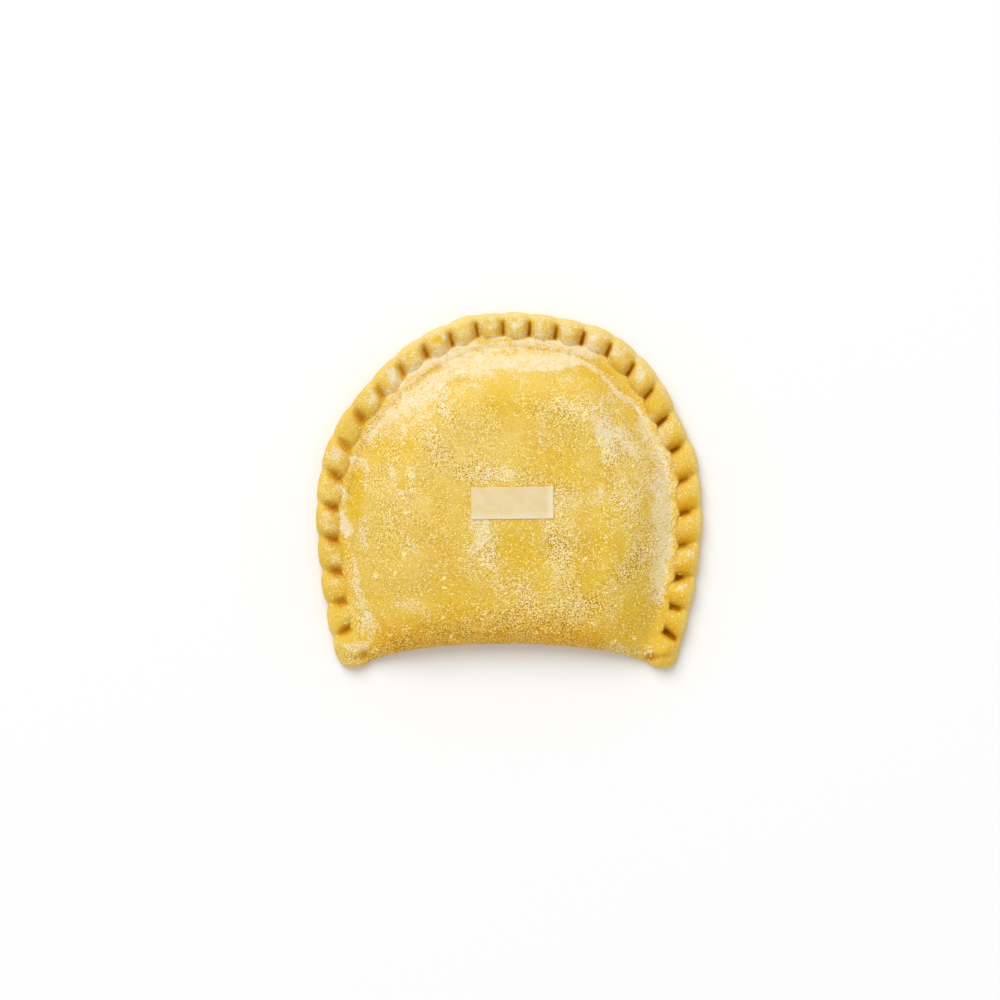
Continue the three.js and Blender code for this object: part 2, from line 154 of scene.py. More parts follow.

# Dark pits of the grooves and the halo round them, both painted shade on dough bare of flour, and flour
# with a painted highlight on the lobes
PIT_UNEVEN = 0.2
PIT_SHARE_LEFT = 0.35
PIT_WIDTHS = (0.8, 0.45)  # shares of the groove's width
HALO_SHADE_SHIFTS = (0.3, -2.3)  # on the left, and on the right
HALO_SHADE_HALF_WIDTHS = (3.2, 1.9)
ROUND_PIT_INWARD, ROUND_PIT_RADIUS = 5.4, 2.5
LIT_DUST_INWARD, LIT_DUST_HALF_WIDTH, LIT_DUST_ASIDE = 4.6, 2.4, 1.9

# Paper slip
SLIP_CENTRE = (0.9, -4.2)
SLIP_LENGTH = 27.3
SLIP_WIDTH = 10.7
SLIP_THICKNESS = 0.12
SLIP_GAP = 0.12
SLIP_TURN = math.radians(0.6)
SLIP_COS, SLIP_SIN = math.cos(SLIP_TURN), math.sin(SLIP_TURN)
SLIP_CELLS = (82, 32)

# Layers of noise: the first one's seed, then each one's height and width
HANDLING_MARKS = (1, [(0.16, 7.3), (0.09, 3.4), (0.05, 1.7)])
UNEVEN_HAZE = (5, [(0.35, 9), (0.25, 4)])
DRIFTS = (8, [(1, 5.5), (1, 2.3)])
RAGGED_ACROSS = (21, [(1.1, 4.1), (0.6, 1.9)])
RAGGED_UP = (23, [(1.1, 4.1), (0.6, 1.9)])
UNEVEN_GRAIN = (31, [(0.6, 5.5), (0.3, 2.4)])
DUST_UNDERNEATH = (41, [(0.5, 14), (0.3, 5)])

# ---- Places read off the photograph ----

# The object in the photograph's 1000 x 1000 pixels
OBJECT_WIDTH_PIXELS = 386
OBJECT_CENTRE_PIXELS = (509.5, 490.5)
MM_PER_PIXEL = 130 / OBJECT_WIDTH_PIXELS

# Films of flour: a stroke's half width in pixels, its cover, and the places it runs through
FLOUR_STROKES = [
    (9, 0.75, (370, 438), (384, 420), (400, 405), (430, 384), (455, 370), (500, 365), (560, 364)),
    (10, 0.5, (396, 414), (440, 390)), (14, 0.35, (384, 436), (420, 410), (470, 384), (520, 380)),
    (20, 0.3, (570, 385), (605, 408), (628, 450), (636, 480)),
    (7, 0.7, (445, 359), (520, 358), (575, 360)),
    (3.5, 0.8, (575, 361), (596, 371), (620, 395), (640, 414)),
    (7, 0.72, (392, 392), (430, 360), (470, 347), (540, 343), (590, 350)),
    (6, 0.5, (586, 351), (594, 358)), (6, 0.7, (352, 460), (354, 470)),
    (4, 0.7, (343, 488), (345, 500)), (6, 0.85, (344, 516), (349, 532)),
    (4, 0.9, (361, 461), (366, 469)), (1.8, 0.8, (366, 470), (366, 494)),
    (4, 0.7, (364, 516), (367, 530)), (4, 0.6, (362, 534), (366, 548)),
    (3.5, 0.7, (355, 556), (357, 572)), (4, 0.55, (356, 580), (362, 603), (368, 612)),
    (5, 0.6, (368, 616), (371, 628), (367, 642)), (7, 0.6, (347, 648), (362, 644)),
    (5, 0.45, (342, 660), (356, 669)), (4, 0.4, (664, 668), (680, 662)),
    (7, 0.3, (656, 652), (674, 644)), (8, 0.45, (597, 640), (612, 650), (640, 653)),
    (5, 0.5, (372, 648), (388, 650)), (6, 0.7, (488, 476), (500, 472), (512, 479)),
    (10, 0.8, (479, 518), (483, 540)), (6, 0.4, (472, 545), (486, 562)),
    (11.5, 0.9, (648, 425), (659, 445), (664, 480), (664, 520), (664, 552), (656, 594)),
    (9, 0.15, (640, 450), (648, 500), (646, 560)), (8.5, 0.95, (604, 430), (607, 456)),
    (8, 0.7, (616, 436), (630, 450)), (12, 0.15, (548, 530), (552, 545), (560, 575)),
    (6, 0.25, (612, 520), (634, 526), (632, 548)), (10, 0.35, (560, 505), (600, 495), (630, 505)),
    (9, 0.35, (560, 404), (592, 420)), (10, 0.4, (404, 604), (440, 612)),
    (6, 0.3, (492, 556), (500, 590)), (6, 0.3, (404, 628), (412, 632)),
    (5, 0.6, (390, 468), (394, 476)), (3, 0.7, (410, 470), (414, 478)),
    (9, 0.35, (424, 418), (432, 432)), (12, 0.3, (396, 486), (420, 500)),
    (10, 0.3, (352, 612), (380, 640)), (6, 0.5, (440, 402), (446, 408)),
    (4, 0.4, (404, 428), (405, 446)), (8, 0.25, (412, 545), (424, 556)),
    (8, 0.3, (540, 415), (545, 440)), (6, 0.4, (330, 452), (337, 458)),
    (6, 0.35, (326, 488), (331, 494)), (6, 0.4, (325, 520), (331, 528)),
    (5, 0.35, (336, 556), (338, 564)),
]
# Rubbed, bare dough: place, radius and how bare, in the same way
BARE_SPOTS = [
    (439, 343, 4.5, 1), (353, 503, 8, 1), (357, 515, 7, 1), (356, 478, 7, 1), (358, 492, 8, 1),
    (346, 552, 6, 0.9), (612, 368, 8, 0.5), (630, 389, 6, 0.6), (645, 409, 6, 0.5),
    (406, 484, 5, 0.8), (388, 452, 14, 0.5), (410, 452, 14, 0.5), (436, 579, 4, 0.7),
    (548, 548, 3, 0.6), (598, 545, 10, 0.7), (513, 546, 15, 0.6), (520, 560, 14, 0.5),
    (400, 645, 7, 0.9), (420, 640, 10, 0.8), (446, 632, 12, 0.8), (470, 632, 12, 0.7),
    (500, 634, 12, 0.8), (520, 630, 12, 0.8), (545, 632, 12, 0.8), (570, 634, 11, 0.7),
    (595, 640, 10, 0.6), (552, 616, 8, 0.7), (450, 600, 18, 0.5), (590, 380, 12, 0.4),
    (560, 465, 16, 0.5), (500, 400, 18, 0.5), (524, 408, 12, 0.4), (632, 608, 14, 0.6),
    (648, 590, 8, 0.4), (662, 656, 7, 0.9), (380, 600, 12, 0.4), (440, 520, 12, 0.3),
    (340, 655, 5, 0.5), (334, 640, 5, 0.7), (588, 592, 20, 0.5), (560, 632, 20, 0.5),
    (564, 596, 15, 0.3), (628, 572, 12, 0.3),
]
# Where grains lie thick: a stroke's half width, how thick, and its places, in the same way
GRAINY_STROKES = [
    (9, 1, (366, 656), (430, 645), (500, 640), (560, 640), (620, 655)),
    (17, 1, (420, 648), (500, 628), (560, 622), (604, 600)),
    (17, 0.85, (558, 498), (562, 560), (556, 612), (530, 616)), (10, 0.6, (612, 490), (630, 512)),
    (10, 0.4, (400, 500), (420, 520)), (12, 0.5, (640, 548), (610, 588), (560, 618)),
    (9, 0.6, (610, 450), (611, 470), (622, 492)), (15, 0.25, (545, 412), (600, 420)),
    (18, 0.3, (390, 470), (400, 545)), (13, 0.5, (430, 440), (450, 470), (540, 484)),
    (16, 0.6, (480, 560), (520, 600)), (8, 0.5, (440, 400), (450, 422)),
    (9, 1, (352, 652), (384, 656)),
]
# Loose lumps of flour: place and width, in pixels
FLOUR_LUMPS = [
    (558, 401, 5), (584, 417, 5), (616, 412, 5), (604, 453, 6), (600, 444, 4), (414, 491, 5),
    (408, 512, 5), (406, 554, 5), (378, 575, 6), (397, 572, 5), (393, 569, 3), (445, 577, 5),
    (446, 587, 4), (483, 560, 6), (488, 563, 4), (461, 559, 4), (407, 627, 5), (413, 355, 5),
    (475, 353, 4), (430, 419, 4), (411, 475, 6), (414, 478, 5), (405, 444, 4), (649, 651, 6),
    (649, 647, 4), (347, 622, 3), (375, 574, 3), (392, 634, 4), (486, 613, 4), (444, 617, 4),
    (453, 636, 5), (546, 629, 5), (570, 535, 4), (545, 530, 4), (630, 525, 4), (645, 548, 5),
    (612, 641, 5), (590, 405, 4), (553, 566, 4), (632, 638, 4), (355, 650, 3), (372, 651, 3),
    (519, 322, 4), (575, 328, 4), (520, 618, 4), (492, 630, 5), (532, 610, 4), (582, 560, 3),
    (566, 600, 3),
]

# ---- Colours and grain sizes ----

YELLOW_DOUGH = (0.83, 0.550, 0.040)
DEEP_DOUGH = (0.79, 0.490, 0.026)
BARE_DOUGH = (0.84, 0.535, 0.008)
# Painted shadow between the grains of flour
GAP_SHADE_DOUGH = (0.44, 0.205, 0.008)
# Golden dough at the fold: painted shade on the side turned from the light
FOLD_SHADE_DOUGH = (0.84, 0.405, 0.005)
# Painted shade round the pits and on the lobes' flanks turned from the light
HALO_SHADE_DOUGH = (0.73, 0.365, 0.008)
# Painted shade in the creases
CREASE_SHADE_DOUGH = (0.50, 0.28, 0.04)
# Painted shade in the bottoms of the grooves and pits
PIT_SHADE_DOUGH = (0.40, 0.14, 0.001)
FLOUR = (0.905, 0.785, 0.545)
FLOUR_THIN = (0.91, 0.73, 0.32)
# Flour turned golden at the fold by painted shade
FLOUR_FOLD_SHADE = (1.00, 0.67, 0.11)
FLOUR_FLECK = (0.98, 0.82, 0.33)
FLOUR_GRAIN = (0.98, 0.85, 0.44)
FLOUR_SHADED = (0.95, 0.75, 0.26)
PAPER_DAMP = (0.79, 0.605, 0.27)
PAPER_DRY = (0.87, 0.745, 0.50)

# Sizes of the patterns in the dough's material, in millimetres
FINE_GRAIN, FLECK_CELL, MIDDLING_PATCH, BROAD_PATCH = 0.5, 0.78, 2.4, 14

HAZE = 0.24
LOBE_FLOUR = 0.38
# Grains and lumps: how many, their width, how much that varies, and how rough they are
GRAIN_COUNT, GRAIN_SIZE, GRAIN_SPREAD, GRAIN_ROUGHNESS = 46000, 0.30, 0.3, 0.35
CLUMP_COUNT, CLUMP_SIZE, CLUMP_SPREAD, CLUMP_ROUGHNESS = 500, 0.6, 0.25, 0.14
LUMP_PARTS, LUMP_SCATTER, LUMP_PART_WIDTH = 9, 0.3, (0.25, 0.55)
STRETCH = (0.75, 1.3)
FLATNESS = 0.6
RISE = 0.08

# ---- Small helpers ----


def mix(a, b, share):
    return a + (b - a) * share


def from_photo(places):
    """Millimetres on the table for places in the photograph, in pixels."""
    away = np.asarray(places, float) - OBJECT_CENTRE_PIXELS
    return away * (MM_PER_PIXEL, -MM_PER_PIXEL)


def smooth(x, low, high):
    share = np.clip((x - low) / (high - low), 0, 1)
    return share * share * (3 - 2 * share)


def bell(away, half_width):
    """1 in the middle, and about a third this far from it."""
    return np.exp(-((away / half_width) ** 2))


def quarter_round(share):
    """The rise of a quarter circle: 0 at the start, 1 and level from the end on."""
    left = 1 - np.minimum(share, 1)
    return np.sqrt(1 - left * left)


def scrambled(value):
    """A fixed draw between -1 and 1 for each value."""
    wave = np.sin(value) * 43758.5453
    return 2 * (wave - np.floor(wave)) - 1


def draw(lobe, kind):
    """A draw for each lobe and one kind of unevenness."""
    return scrambled(lobe * 12.9898 + kind * 78.233)


def uneven(phase, kind):
    lobe = np.floor(phase - 0.5)
    share = smooth(phase - 0.5 - lobe, 0.3, 0.7)
    return mix(draw(lobe, kind), draw(lobe + 1, kind), share)


def value_noise(x, y, cell, seed):
    """Smooth noise between -1 and 1, with bumps one cell wide."""
    column, row = np.floor(x / cell), np.floor(y / cell)
    across, up = smooth(x / cell - column, 0, 1), smooth(y / cell - row, 0, 1)

    def corner(i, j):
        return scrambled(i * 127.1 + j * 311.7 + seed * 74.7)

    low = mix(corner(column, row), corner(column + 1, row), across)
    high = mix(corner(column, row + 1), corner(column + 1, row + 1), across)
    return mix(low, high, up)


def layered(places, noise, level=0.0):
    """Layers of noise on top of a level."""
    seed, layers = noise
    x, y = places.T
    for number, (height, width) in enumerate(layers):
        level = level + height * value_noise(x, y, width, seed + number)
    return level


def lumps(x, y):
    """Gentle lumps of the filling under the dough."""
    long = 0.38 * np.sin(x / 9.7 + 1.3) * np.cos(y / 8.3 - 0.6)
    short = 0.16 * np.sin((x + 1.4 * y) / 6.1) * np.cos((1.2 * x - y) / 7.4 + 0.8)
    return long + short


# ---- Plan outline ----


def cubic(*handles):
    """A cubic curve as closely spaced points."""
    t = np.linspace(0, 1, 401)[:, None]
    a, b, c, d = (np.array(handle, float) for handle in handles)
    return (1 - t) ** 3 * a + 3 * (1 - t) ** 2 * t * b + 3 * (1 - t) * t**2 * c + t**3 * d


def joined(curves):
    return np.concatenate([curves[0]] + [curve[1:] for curve in curves[1:]])


def quarter(side, fullness):
    """The handles of a quarter of the arch, from its widest place on one side to the top."""
    full_level = WIDEST_LEVEL + (TOP_LEVEL - WIDEST_LEVEL) * fullness
    return [(side, WIDEST_LEVEL), (side, full_level), (side * fullness, TOP_LEVEL), (0, TOP_LEVEL)]


def make_outline():
    """The closed outline, clockwise from the left corner's inner end, and the arch's length."""
    left, right = quarter(-LEFT_WIDTH, LEFT_FULLNESS), quarter(RIGHT_WIDTH, RIGHT_FULLNESS)
    arch = joined([
        cubic(LEFT_INNER, (-50.8, LEFT_SOLE), (-56.2, LEFT_SOLE), LEFT_OUTER),
        cubic(LEFT_OUTER, (-61.5, -41.5), (-LEFT_WIDTH, -25.5), left[0]),
        cubic(*left),
        cubic(*right[::-1]),
        cubic(right[0], (RIGHT_WIDTH, -24), (61, -41.5), RIGHT_OUTER),
        cubic(RIGHT_OUTER, (55.6, RIGHT_SOLE), (50, RIGHT_SOLE), RIGHT_INNER),
    ])
    middle = (0, FOLD_LEVEL)
    fold = joined([
        cubic(RIGHT_INNER, (31.5, -52.5), (14, FOLD_LEVEL), middle),
        cubic(middle, (-15, FOLD_LEVEL), (-32.5, -52), LEFT_INNER),
    ])
    return joined([arch, fold]), run_length(arch)[-1]


def run_length(points):
    steps = np.linalg.norm(np.diff(points, axis=0), axis=1)
    return np.concatenate([[0], np.cumsum(steps)])


OUTLINE, ARCH_LENGTH = make_outline()
OUTLINE_RUN = run_length(OUTLINE)
OUTLINE_LENGTH = OUTLINE_RUN[-1]
CORNER_LENGTH = CORNER_SHARE * ARCH_LENGTH


def outline_point(along):
    along = np.mod(along, OUTLINE_LENGTH)
    return np.stack([np.interp(along, OUTLINE_RUN, OUTLINE[:, axis]) for axis in (0, 1)], axis=-1)


def unit(vectors):
    return vectors / np.linalg.norm(vectors, axis=-1, keepdims=True)


def edge_normal(along):
    run = unit(outline_point(along + 0.5) - outline_point(along - 0.5))
    return np.stack([run[..., 1], -run[..., 0]], axis=-1)


def corner_share(along):
    """1 at the corners and along the fold, 0 on the arch above them."""
    share = along / ARCH_LENGTH
    return 1 - smooth(np.minimum(share, 1 - share), CORNER_SHARE, FANNED_SHARE)


def inward_at(along):
    """The way in from the edge: square to the arch, fanned at the corners and the fold."""
    place = outline_point(along)
    aside = smooth(np.abs(place[:, 0]), 5, 45)[:, None]
    target = np.column_stack([np.sign(place[:, 0]), np.ones(len(place))]) * CORNER_TARGET
    fanned = unit(mix(HUB, target, aside) - place)
    return unit(mix(edge_normal(along), fanned, corner_share(along)[:, None]))


def swell_at(along):
    share = np.mod(along, OUTLINE_LENGTH) / ARCH_LENGTH
    return sum(reach * bell(share - centre, spread) for centre, spread, reach in SWELLS)


def edge_point(along):
    return outline_point(along) - inward_at(along) * swell_at(along)[:, None]


def crimp_place(number):
    half = (number - MIDDLE_CRIMP) / MIDDLE_CRIMP
    turn = math.pi * (half - 0.05)
    once, twice = CRIMP_DRIFT
    share = CRIMP_MIDDLE + CRIMP_HALF_SPAN * half - once * np.sin(turn) - twice * np.sin(2 * turn)
    return ARCH_LENGTH * share


CRIMP_PITCH = crimp_place(MIDDLE_CRIMP) / MIDDLE_CRIMP


def points_between(start, end):
    return edge_point(np.linspace(start, end, math.ceil(abs(end - start) * 2) + 1))


def side_with_tail(corner):
    """A side of the arch, run on straight past its rounded corner."""
    side = points_between(ARCH_LENGTH / 2, corner)
    run = unit(side[-1] - side[-5])
    return np.concatenate([side, side[-1] + run * np.arange(0.5, 25, 0.5)[:, None]])


SIDES = [side_with_tail(CORNER_LENGTH), side_with_tail(ARCH_LENGTH - CORNER_LENGTH)]
FOLD_LINE = points_between(ARCH_LENGTH - CORNER_LENGTH, OUTLINE_LENGTH + CORNER_LENGTH)


def nearest(line, places):
    """The distance from each place to a line of points and the stretches between them."""
    least = np.empty(len(places))
    for start in range(0, len(places), 20000):
        part = places[start : start + 20000]
        squares = (part**2).sum(1)[:, None] - 2 * part @ line.T + (line**2).sum(1)
        middle = np.clip(squares.argmin(1), 1, len(line) - 2)
        found = np.full(len(part), np.inf)
        for side in (-1, 0):
            a, b = line[middle + side], line[middle + side + 1]
            run = b - a
            share = np.clip(((part - a) * run).sum(1) / (run * run).sum(1), 0, 1)
            found = np.minimum(found, np.linalg.norm(part - a - run * share[:, None], axis=1))
        least[start : start + 20000] = found
    return least


def nearest_side(places):
    return np.minimum(nearest(SIDES[0], places), nearest(SIDES[1], places))


# ---- Stations round the edge ----


def make_stations():
    """Along, phase and how far past the nearest groove, for each place round the edge."""
    first, last = crimp_place(1), crimp_place(LAST_CRIMP)
    corner = np.arange(CORNER_CUTS) / CORNER_CUTS
    lobes = 1 + np.arange((LAST_CRIMP - 1) * LOBE_CUTS) / LOBE_CUTS
    fold = np.arange(FOLD_CUTS) / FOLD_CUTS
    along = np.concatenate([
        first * corner,
        crimp_place(lobes),
        mix(last, ARCH_LENGTH, corner),
        mix(ARCH_LENGTH, OUTLINE_LENGTH, fold),
    ])
    phase = np.concatenate([corner, lobes, LAST_CRIMP + corner, np.where(fold < 0.5, LAST_CRIMP + 1, 0)])
    grooves = crimp_place(np.arange(1, LAST_CRIMP + 1))
    aside = along[:, None] - grooves
    aside = np.take_along_axis(aside, np.abs(aside).argmin(axis=1)[:, None], axis=1)[:, 0]
    aside[-FOLD_CUTS:] = first
    return along, phase, aside


ALONG, PHASE, ASIDE = make_stations()
AWAY = np.abs(ASIDE)
AT_CORNERS = corner_share(ALONG)
EVERYWHERE = np.ones(len(ALONG))

# ---- Surface ----

# Marks on the dough. The groove pits, the halo round them and the creases are painted shade on dough bare
# of flour; the dusting on the lobes is flour and a painted highlight; the fold mark thins the flour and
# paints shade at the fold.
MARKS = ("pit", "halo_shade", "crease", "dust_and_highlight", "fold", "under")


def valley(away, inward):
    """1 in a groove, 0 on the lobes: a broad valley at the edge, and a sharp line further in."""
    half_width = GROOVE_HALF_WIDTH * mix(GROOVE_TAPER, 1, smooth(inward, 0, PIT_INWARD))
    broad = 0.5 + 0.5 * np.cos(math.pi * np.minimum(away / (CRIMP_PITCH / 2), 1))
    sharpness = VALLEY_SHARPNESS * smooth(inward, 0, 0.6 * PIT_INWARD)
    return mix(broad * broad, bell(away, half_width), sharpness)


def groove_strength(inward, lobe_end):
    """How strongly a groove is pressed in, this far from the edge."""
    towards_pit = mix(0.22, 1, smooth(inward, 0, lobe_end - 1.6))
    return towards_pit * (1 - smooth(inward, lobe_end - 0.9, lobe_end + 0.5))


def crown_height(x, y):
    across = (x - CROWN_CENTRE[0]) / CROWN_REACH[0]
    up = (y - CROWN_CENTRE[1]) / CROWN_REACH[1]
    return CROWN_HEIGHT - CROWN_FALL[0] * across**2 - CROWN_FALL[1] * up**2 + lumps(x, y)


def arch_share(along):
    """1 at the top of the arch, 0 at the corners and along the fold."""
    return np.where(along < ARCH_LENGTH, 0.5 - 0.5 * np.cos(2 * math.pi * along / ARCH_LENGTH), 0)


def lobe_reach(phase, away, high):
    """How far in a lobe reaches, in its middle or this far from a groove."""
    middle = np.minimum(away / (CRIMP_PITCH / 2), 1)
    reach = mix(*LOBE_LENGTHS, high) + REACH_UNEVEN * uneven(phase, REACH_DRAW)
    return reach - LOBE_HOLLOW * (1 - middle) ** 2


def arch_top(along, phase, away, inward, crown):
    high = arch_share(along)
    lobe_end = lobe_reach(phase, away, high)
    crest = CREST_HEIGHT + CREST_UNEVEN * uneven(phase, CREST_DRAW)
    pressed = GROOVE_DEPTH * (1 + GROOVE_UNEVEN * uneven(phase + 0.5, GROOVE_DRAW))
    body_start = mix(*BODY_STARTS, high)
    fall = np.clip(1 - (lobe_end - inward) / LOBE_SLOPE, 0, 1)
    height = mix(crest, mix(*LEDGE_HEIGHTS, high), fall * fall)
    height = mix(RIM_EDGE_HEIGHT, height, quarter_round(inward / EDGE_ROLL))
    height = height - pressed * groove_strength(inward, lobe_end) * valley(away, inward)
    crease = LOBE_CREASE * smooth(high, 0, 0.2)
    height = height - crease * bell(inward - lobe_end, LOBE_CREASE_HALF_WIDTH)
    crease = CREASE_DEPTH * smooth(high, 0.1, 0.5)
    height = height - crease * bell(inward - body_start, CREASE_HALF_WIDTH)
    rise = np.minimum(np.maximum(inward - body_start, 0) / SHOULDER_WIDTH, 1)
    rise = rise ** mix(*FOOT_POWERS, high)
    return mix(height, crown, 1 - (1 - rise) ** SHOULDER_POWER)


def corner_pit(x, y):
    """How deep the pits at the two corners are, as a share of their full depth."""
    return sum(bell(np.hypot(x - pit_x, y - pit_y), CORNER_PIT_RADIUS) for pit_x, pit_y in CORNER_PITS)


def edge_distances(along, inward, places):
    plain = nearest_side(places)
    on_side = (along > CORNER_LENGTH) & (along < ARCH_LENGTH - CORNER_LENGTH)
    square = (edge_normal(along) * inward_at(along)).sum(axis=1)
    way_in = np.where(on_side, inward * square, plain)
    from_arch = mix(way_in, plain, smooth(inward, LOBE_LENGTH + 1, RIM_DEPTH))
    return from_arch, nearest(FOLD_LINE, places)


def surface_facts(stations, inward, places):
    """What both faces need at each place: the distances in, and the height behind the fold."""
    along, phase, away = ALONG[stations], PHASE[stations], AWAY[stations]
    from_arch, from_fold = edge_distances(along, inward, places)
    crown = crown_height(places[:, 0], places[:, 1])
    behind = arch_top(along, phase, away, from_arch, crown)
    return from_arch, from_fold, behind


def top_surface(stations, inward, places):
    """Heights of the upper face, and its marks, in the order of MARKS."""
    from_arch, from_fold, behind = surface_facts(stations, inward, places)
    round_over = quarter_round(from_fold / (FOLD_ROUND * behind))
    x, y = places.T
    ends = end_creases(places)
    corner = corner_pit(x, y)
    sunk = CORNER_PIT_DEPTH * corner * round_over + END_CREASE_DEPTH * ends
    edge_fade = smooth(np.minimum(from_arch, from_fold), 0.2, 2.5)
    height = mix(FOLD_MID * behind, behind, round_over) - sunk + small_relief(places) * edge_fade
    rim = RimPlaces(stations, from_arch)
    return height, np.column_stack([
        # The corner pits get painted shade in them and round them
        np.maximum(groove_pits(rim), 0.5 * corner),
        np.maximum(painted_halo_shade(rim), 0.5 * corner),
        # The creases at the rim's ends get painted shade too
        np.maximum(rim_crease_shade(rim), 0.8 * ends),
        lobe_dust_and_highlight(rim),
        fold_mark(from_fold, x),
        np.zeros(len(x)),
    ])


class RimPlaces:
    """Where places lie on the rim: along the arch, beside a groove and in from the edge."""

    def __init__(self, stations, inward):
        self.inward = inward
        self.along = ALONG[stations]
        self.phase = PHASE[stations]
        self.away, self.aside = AWAY[stations], ASIDE[stations]
        self.share = self.along / ARCH_LENGTH
        self.on_left = self.along < ARCH_LENGTH / 2
        self.from_corner = np.minimum(self.along, ARCH_LENGTH - self.along) / ARCH_LENGTH
        self.off_corners = 1 - AT_CORNERS[stations]
        self.high = arch_share(self.along)
        self.lobe_end = lobe_reach(self.phase, self.away, self.high)
        self.on_lobe = 1 - smooth(inward, self.lobe_end - 0.4, self.lobe_end + 0.6)
        self.pressed = 1 + PIT_UNEVEN * uneven(self.phase + 0.5, PIT_DRAW)


def groove_pits(rim):
    """The dark bottoms of the grooves, faint on the left: painted shade in the pits, on dough bare of
    flour.
    """
    start = mix(mix(0.6, 3.2, smooth(rim.from_corner, 0.06, 0.12)), 1.2, rim.high)
    line = bell(rim.away, mix(*PIT_WIDTHS, rim.high) * GROOVE_HALF_WIDTH)
    pit = rim.pressed * line * smooth(rim.inward, start, start + 3) * rim.on_lobe
    return pit * mix(PIT_SHARE_LEFT, 1, smooth(rim.share, 0.25, 0.6))


def painted_halo_shade(rim):
    """Painted shade round the pits on the left, and above them on the right, on the lobe's flank turned
    from the light.
    """
    shift = mix(*HALO_SHADE_SHIFTS, smooth(rim.share, 0.3, 0.7))
    halo = bell(rim.aside - shift, mix(*HALO_SHADE_HALF_WIDTHS, rim.high))
    halo_shade = np.minimum(1.25 * rim.pressed * halo, 1) * smooth(rim.inward, 0, 4) * rim.on_lobe
    halo_shade = halo_shade * np.where(rim.on_left, 1, mix(0.6, 1, smooth(rim.from_corner, 0.06, 0.2)))
    round_pit = bell(np.hypot(rim.aside, rim.inward - ROUND_PIT_INWARD), ROUND_PIT_RADIUS)
    halo_shade = mix(round_pit, halo_shade, smooth(rim.share, 0.22, 0.36))
    # A faint painted shade along the inner ends of the lobes at the top
    lobe_foot = 0.3 * bell(rim.inward - rim.lobe_end + 1.2, 1.2)
    return np.maximum(halo_shade * mix(1, 0.4, smooth(rim.high, 0.3, 0.95)), rim.high * lobe_foot * rim.on_lobe)


def rim_crease_shade(rim):
    """Painted shade along the line under the lobes, and the line between the ledge and the body."""
    under_lobe = 0.8 * bell(rim.inward - rim.lobe_end, 0.35) * smooth(rim.high, 0.05, 0.3)
    beside_body = bell(rim.inward - mix(*BODY_STARTS, rim.high), 0.4) * smooth(rim.high, 0.2, 0.5)
    return np.maximum(under_lobe, beside_body * np.where(rim.along < 0.42 * ARCH_LENGTH, 0.8, 0.3))


def lobe_dust_and_highlight(rim):
    """Flour and a painted highlight on the lit part of some lobes."""
    from_lit = rim.aside + 0.25 * CRIMP_PITCH * np.where(rim.on_left, 1, -1)
    lit_part = bell(from_lit, LIT_DUST_ASIDE) + 0.3 * smooth(rim.away, 3, 5)
    dust_and_light = np.maximum(0.3 + 0.45 * uneven(rim.phase, LIT_DUST_DRAW), 0)
    dust_and_light = dust_and_light * mix(1.15, 1, smooth(rim.share, 0.4, 0.7))
    return dust_and_light * lit_part * bell(rim.inward - LIT_DUST_INWARD, LIT_DUST_HALF_WIDTH) * rim.off_corners


def fold_mark(from_fold, x):
    """1 at the fold, 0 away from it, at the left corner and along its dusty right end. It thins the flour
    there and paints shade, golden, on the fold's side turned from the light.
    """
    near = 1 - smooth(from_fold, 0, FOLD_BAND)
    return near * (1 - 0.85 * smooth(-x, 43, 51)) * (1 - 0.7 * smooth(x, 24, 36))


def end_creases(places):
    depth = np.zeros(len(places))
    for start, end in END_CREASES:
        away = stroke_distance(np.array([start, end], float), places)
        depth = np.maximum(depth, bell(away, END_CREASE_HALF_WIDTH))
    return depth


def stroke_distance(line, places):
    """The distance from each place to a line of a few points."""
    found = np.full(len(places), np.inf)
    for a, b in zip(line[:-1], line[1:]):
        run = b - a
        share = np.clip(((places - a) @ run) / (run @ run), 0, 1)
        found = np.minimum(found, np.linalg.norm(places - a - share[:, None] * run, axis=1))
    return found


def small_relief(places):
    """Handling marks in the dough that are too fine for the solid."""
    return layered(places, HANDLING_MARKS) * (1 - over_slip(*places.T))


def under_surface(stations, inward, places):
    """Heights of the lower face, and its marks. It has no pits or creases."""
    from_arch, from_fold, behind = surface_facts(stations, inward, places)
    rim = mix(RIM_EDGE_HEIGHT, RIM_LIFT, quarter_round(from_arch / UNDER_ROLL))
    under = rim * (1 - smooth(from_arch, UNDER_ROLL, FLAT_FROM))
    height = mix(FOLD_MID * behind, under, quarter_round(from_fold / (FOLD_UNDER * behind)))
    facing_down = smooth(np.minimum(from_arch, from_fold), 0, 5)
    none = np.zeros(len(places))
    fold = fold_mark(from_fold, places[:, 0])
    return height, np.column_stack([none, none, none, none, fold, facing_down])


def rim_points(inward):
    """The plan points this far in from the edge, one for each station."""
    square = 1 - AT_CORNERS
    turn = 2 * math.pi * (ALONG / ARCH_LENGTH - 0.5)
    lean = GROOVE_LEAN * np.sin(turn) * square
    along = ALONG + lean * (min(inward, LOBE_LENGTH) - PIT_INWARD)
    leftness = bell(along / ARCH_LENGTH - 0.1, 0.09)
    drawn_in = (SCALLOP + LEFT_SCALLOP * leftness) * valley(AWAY, PIT_INWARD)
    drawn_in = drawn_in - EDGE_UNEVEN * uneven(PHASE, EDGE_DRAW) * square
    edge_only = np.where(ALONG < ARCH_LENGTH, max(0, 1 - inward / LOBE_LENGTH), 0)
    shift = (inward + drawn_in * edge_only)[:, None]
    return edge_point(along) + inward_at(along) * shift


def relaxed(points, holds, passes):
    """Evens out a ring of points, fully where a point's hold is 1 and not at all where it is 0."""
    hold = 0.5 * holds[:, None]
    for _ in range(passes):
        around = 0.5 * (np.roll(points, 1, axis=0) + np.roll(points, -1, axis=0))
        points = mix(points, around, hold)
    return points


# ---- Meshes ----


